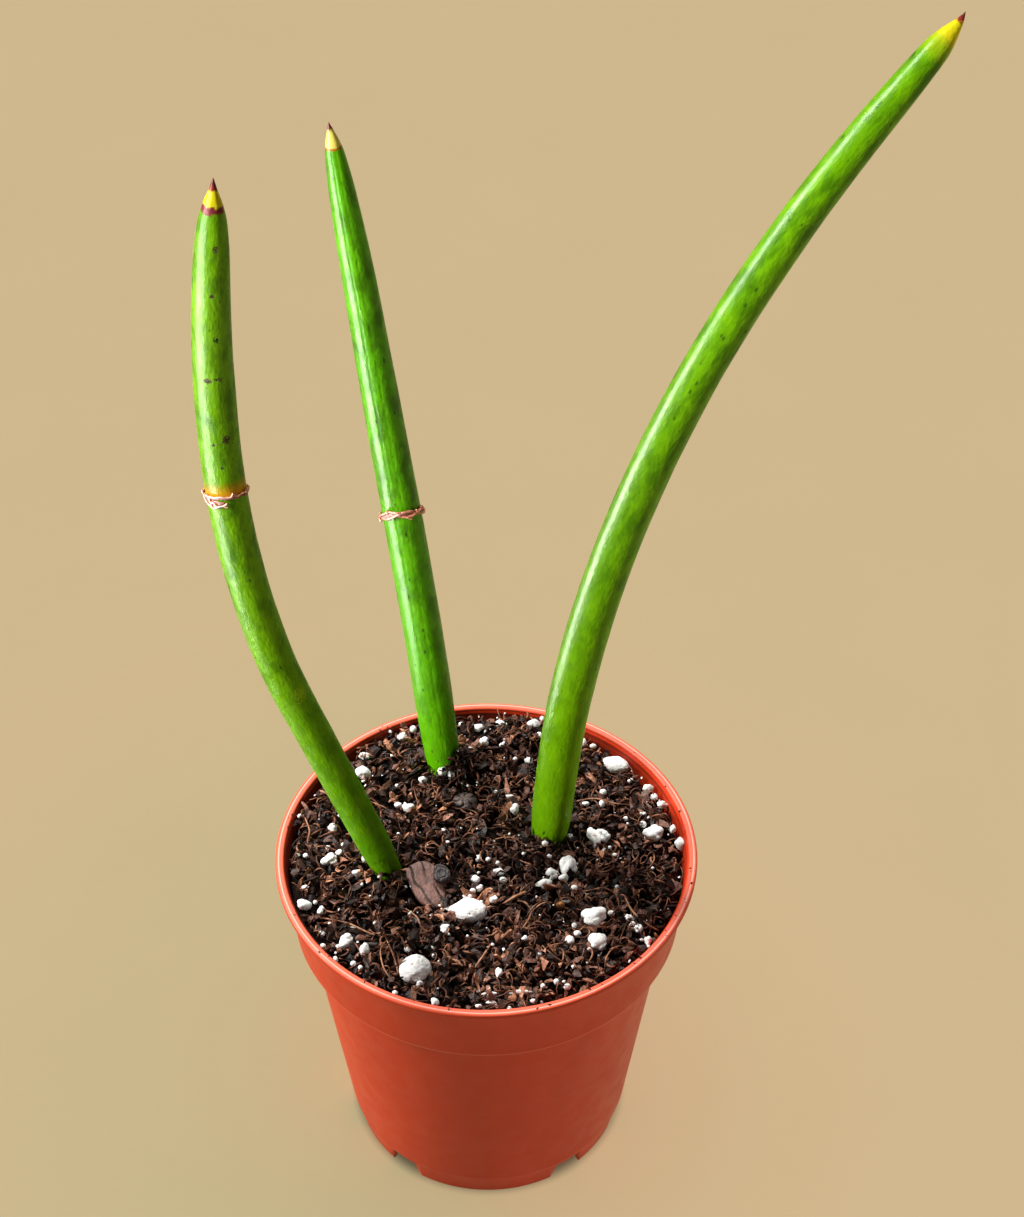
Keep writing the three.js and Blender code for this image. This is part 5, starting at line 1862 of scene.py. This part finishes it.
# %% Threads read from the photograph
THREAD_ARCH = 1.6
SEEN_THREADS = [
    (0.22, [(215, 795), (300, 812), (380, 848), (432, 862)]),
    (0.20, [(432, 862), (452, 905), (468, 950), (476, 990)]),
    (0.18, [(440, 868), (415, 905), (425, 965), (452, 1008)]),
    (0.26, [(1255, 700), (1285, 765), (1335, 812), (1380, 838)]),
    (0.45, [(832, 752), (880, 722), (935, 697)]),
    (0.20, [(1095, 388), (1160, 380), (1235, 398), (1305, 402)]),
    (0.20, [(150, 440), (168, 490), (162, 530), (172, 568)]),
    (0.30, [(740, 970), (768, 930), (800, 880)]),
    (0.22, [(940, 770), (915, 740), (880, 735)]),
    (0.22, [(940, 770), (975, 745), (1010, 740)]),
    (0.22, [(940, 770), (925, 805), (900, 840)]),
    (0.22, [(500, 760), (540, 790), (560, 830), (600, 850)]),
    (0.28, [(640, 930), (680, 945), (715, 975)]),
    (0.24, [(1130, 960), (1150, 920), (1140, 890)]),
]
AMBER_CRUMB = (1040, 750)


def thread_path(thick, points):
    line = smooth_line([(x, y, 0) for x, y in points], 8)
    count = len(line) - 1
    path = []
    for k, (x, y, _) in enumerate(line):
        arch = math.sin(math.pi * k / count)
        path.append((seen_at(x, y, 0.8 + THREAD_ARCH * arch), thick * (0.7 + 0.6 * arch)))
    return path


threads = fibre_mesh([thread_path(thick, points) for thick, points in SEEN_THREADS], 0.95)
finish_piece(threads, "long_threads", COIR, "potting_mix")
amber = perlite_lump((2.6, 2.0, 3.0), 0, 0, 0.4, 9, 3)
bmesh.ops.translate(amber, vec=seen_at(*AMBER_CRUMB, 1.4), verts=amber.verts)
amber_bark = bark_material("amber_bark", (0.62, 0.27, 0.07, 1), (0.36, 0.13, 0.04, 1))
finish_piece(amber, "amber_crumb", amber_bark, "bark")

# %% [markdown]
# A few crumbs have fallen on the lip, as they do whenever a pot is filled.

# %% Crumbs on the lip
LIP_CRUMBS = 34
draw = random.Random(15)
lip_heap = Heap()
for k in range(LIP_CRUMBS):
    angle = draw.random() * math.tau
    out = RIM_RADIUS - draw.uniform(0.9, LIP_WIDTH)
    length = draw.uniform(0.4, 1.5)
    spot = Vector((out * math.cos(angle), out * math.sin(angle), POT_HEIGHT + 0.1))
    size = Vector((length / 2, length * 0.2, 0.15))
    turn = Euler((0, 0, draw.uniform(0, math.tau)))
    lip_heap.add(draw.choice(crumbs), Matrix.LocRotScale(spot, turn, size), draw.random() * 0.5)
finish_piece(lip_heap.bm, "lip_crumbs", PEAT_CRUMBS, "potting_mix", smooth=False)
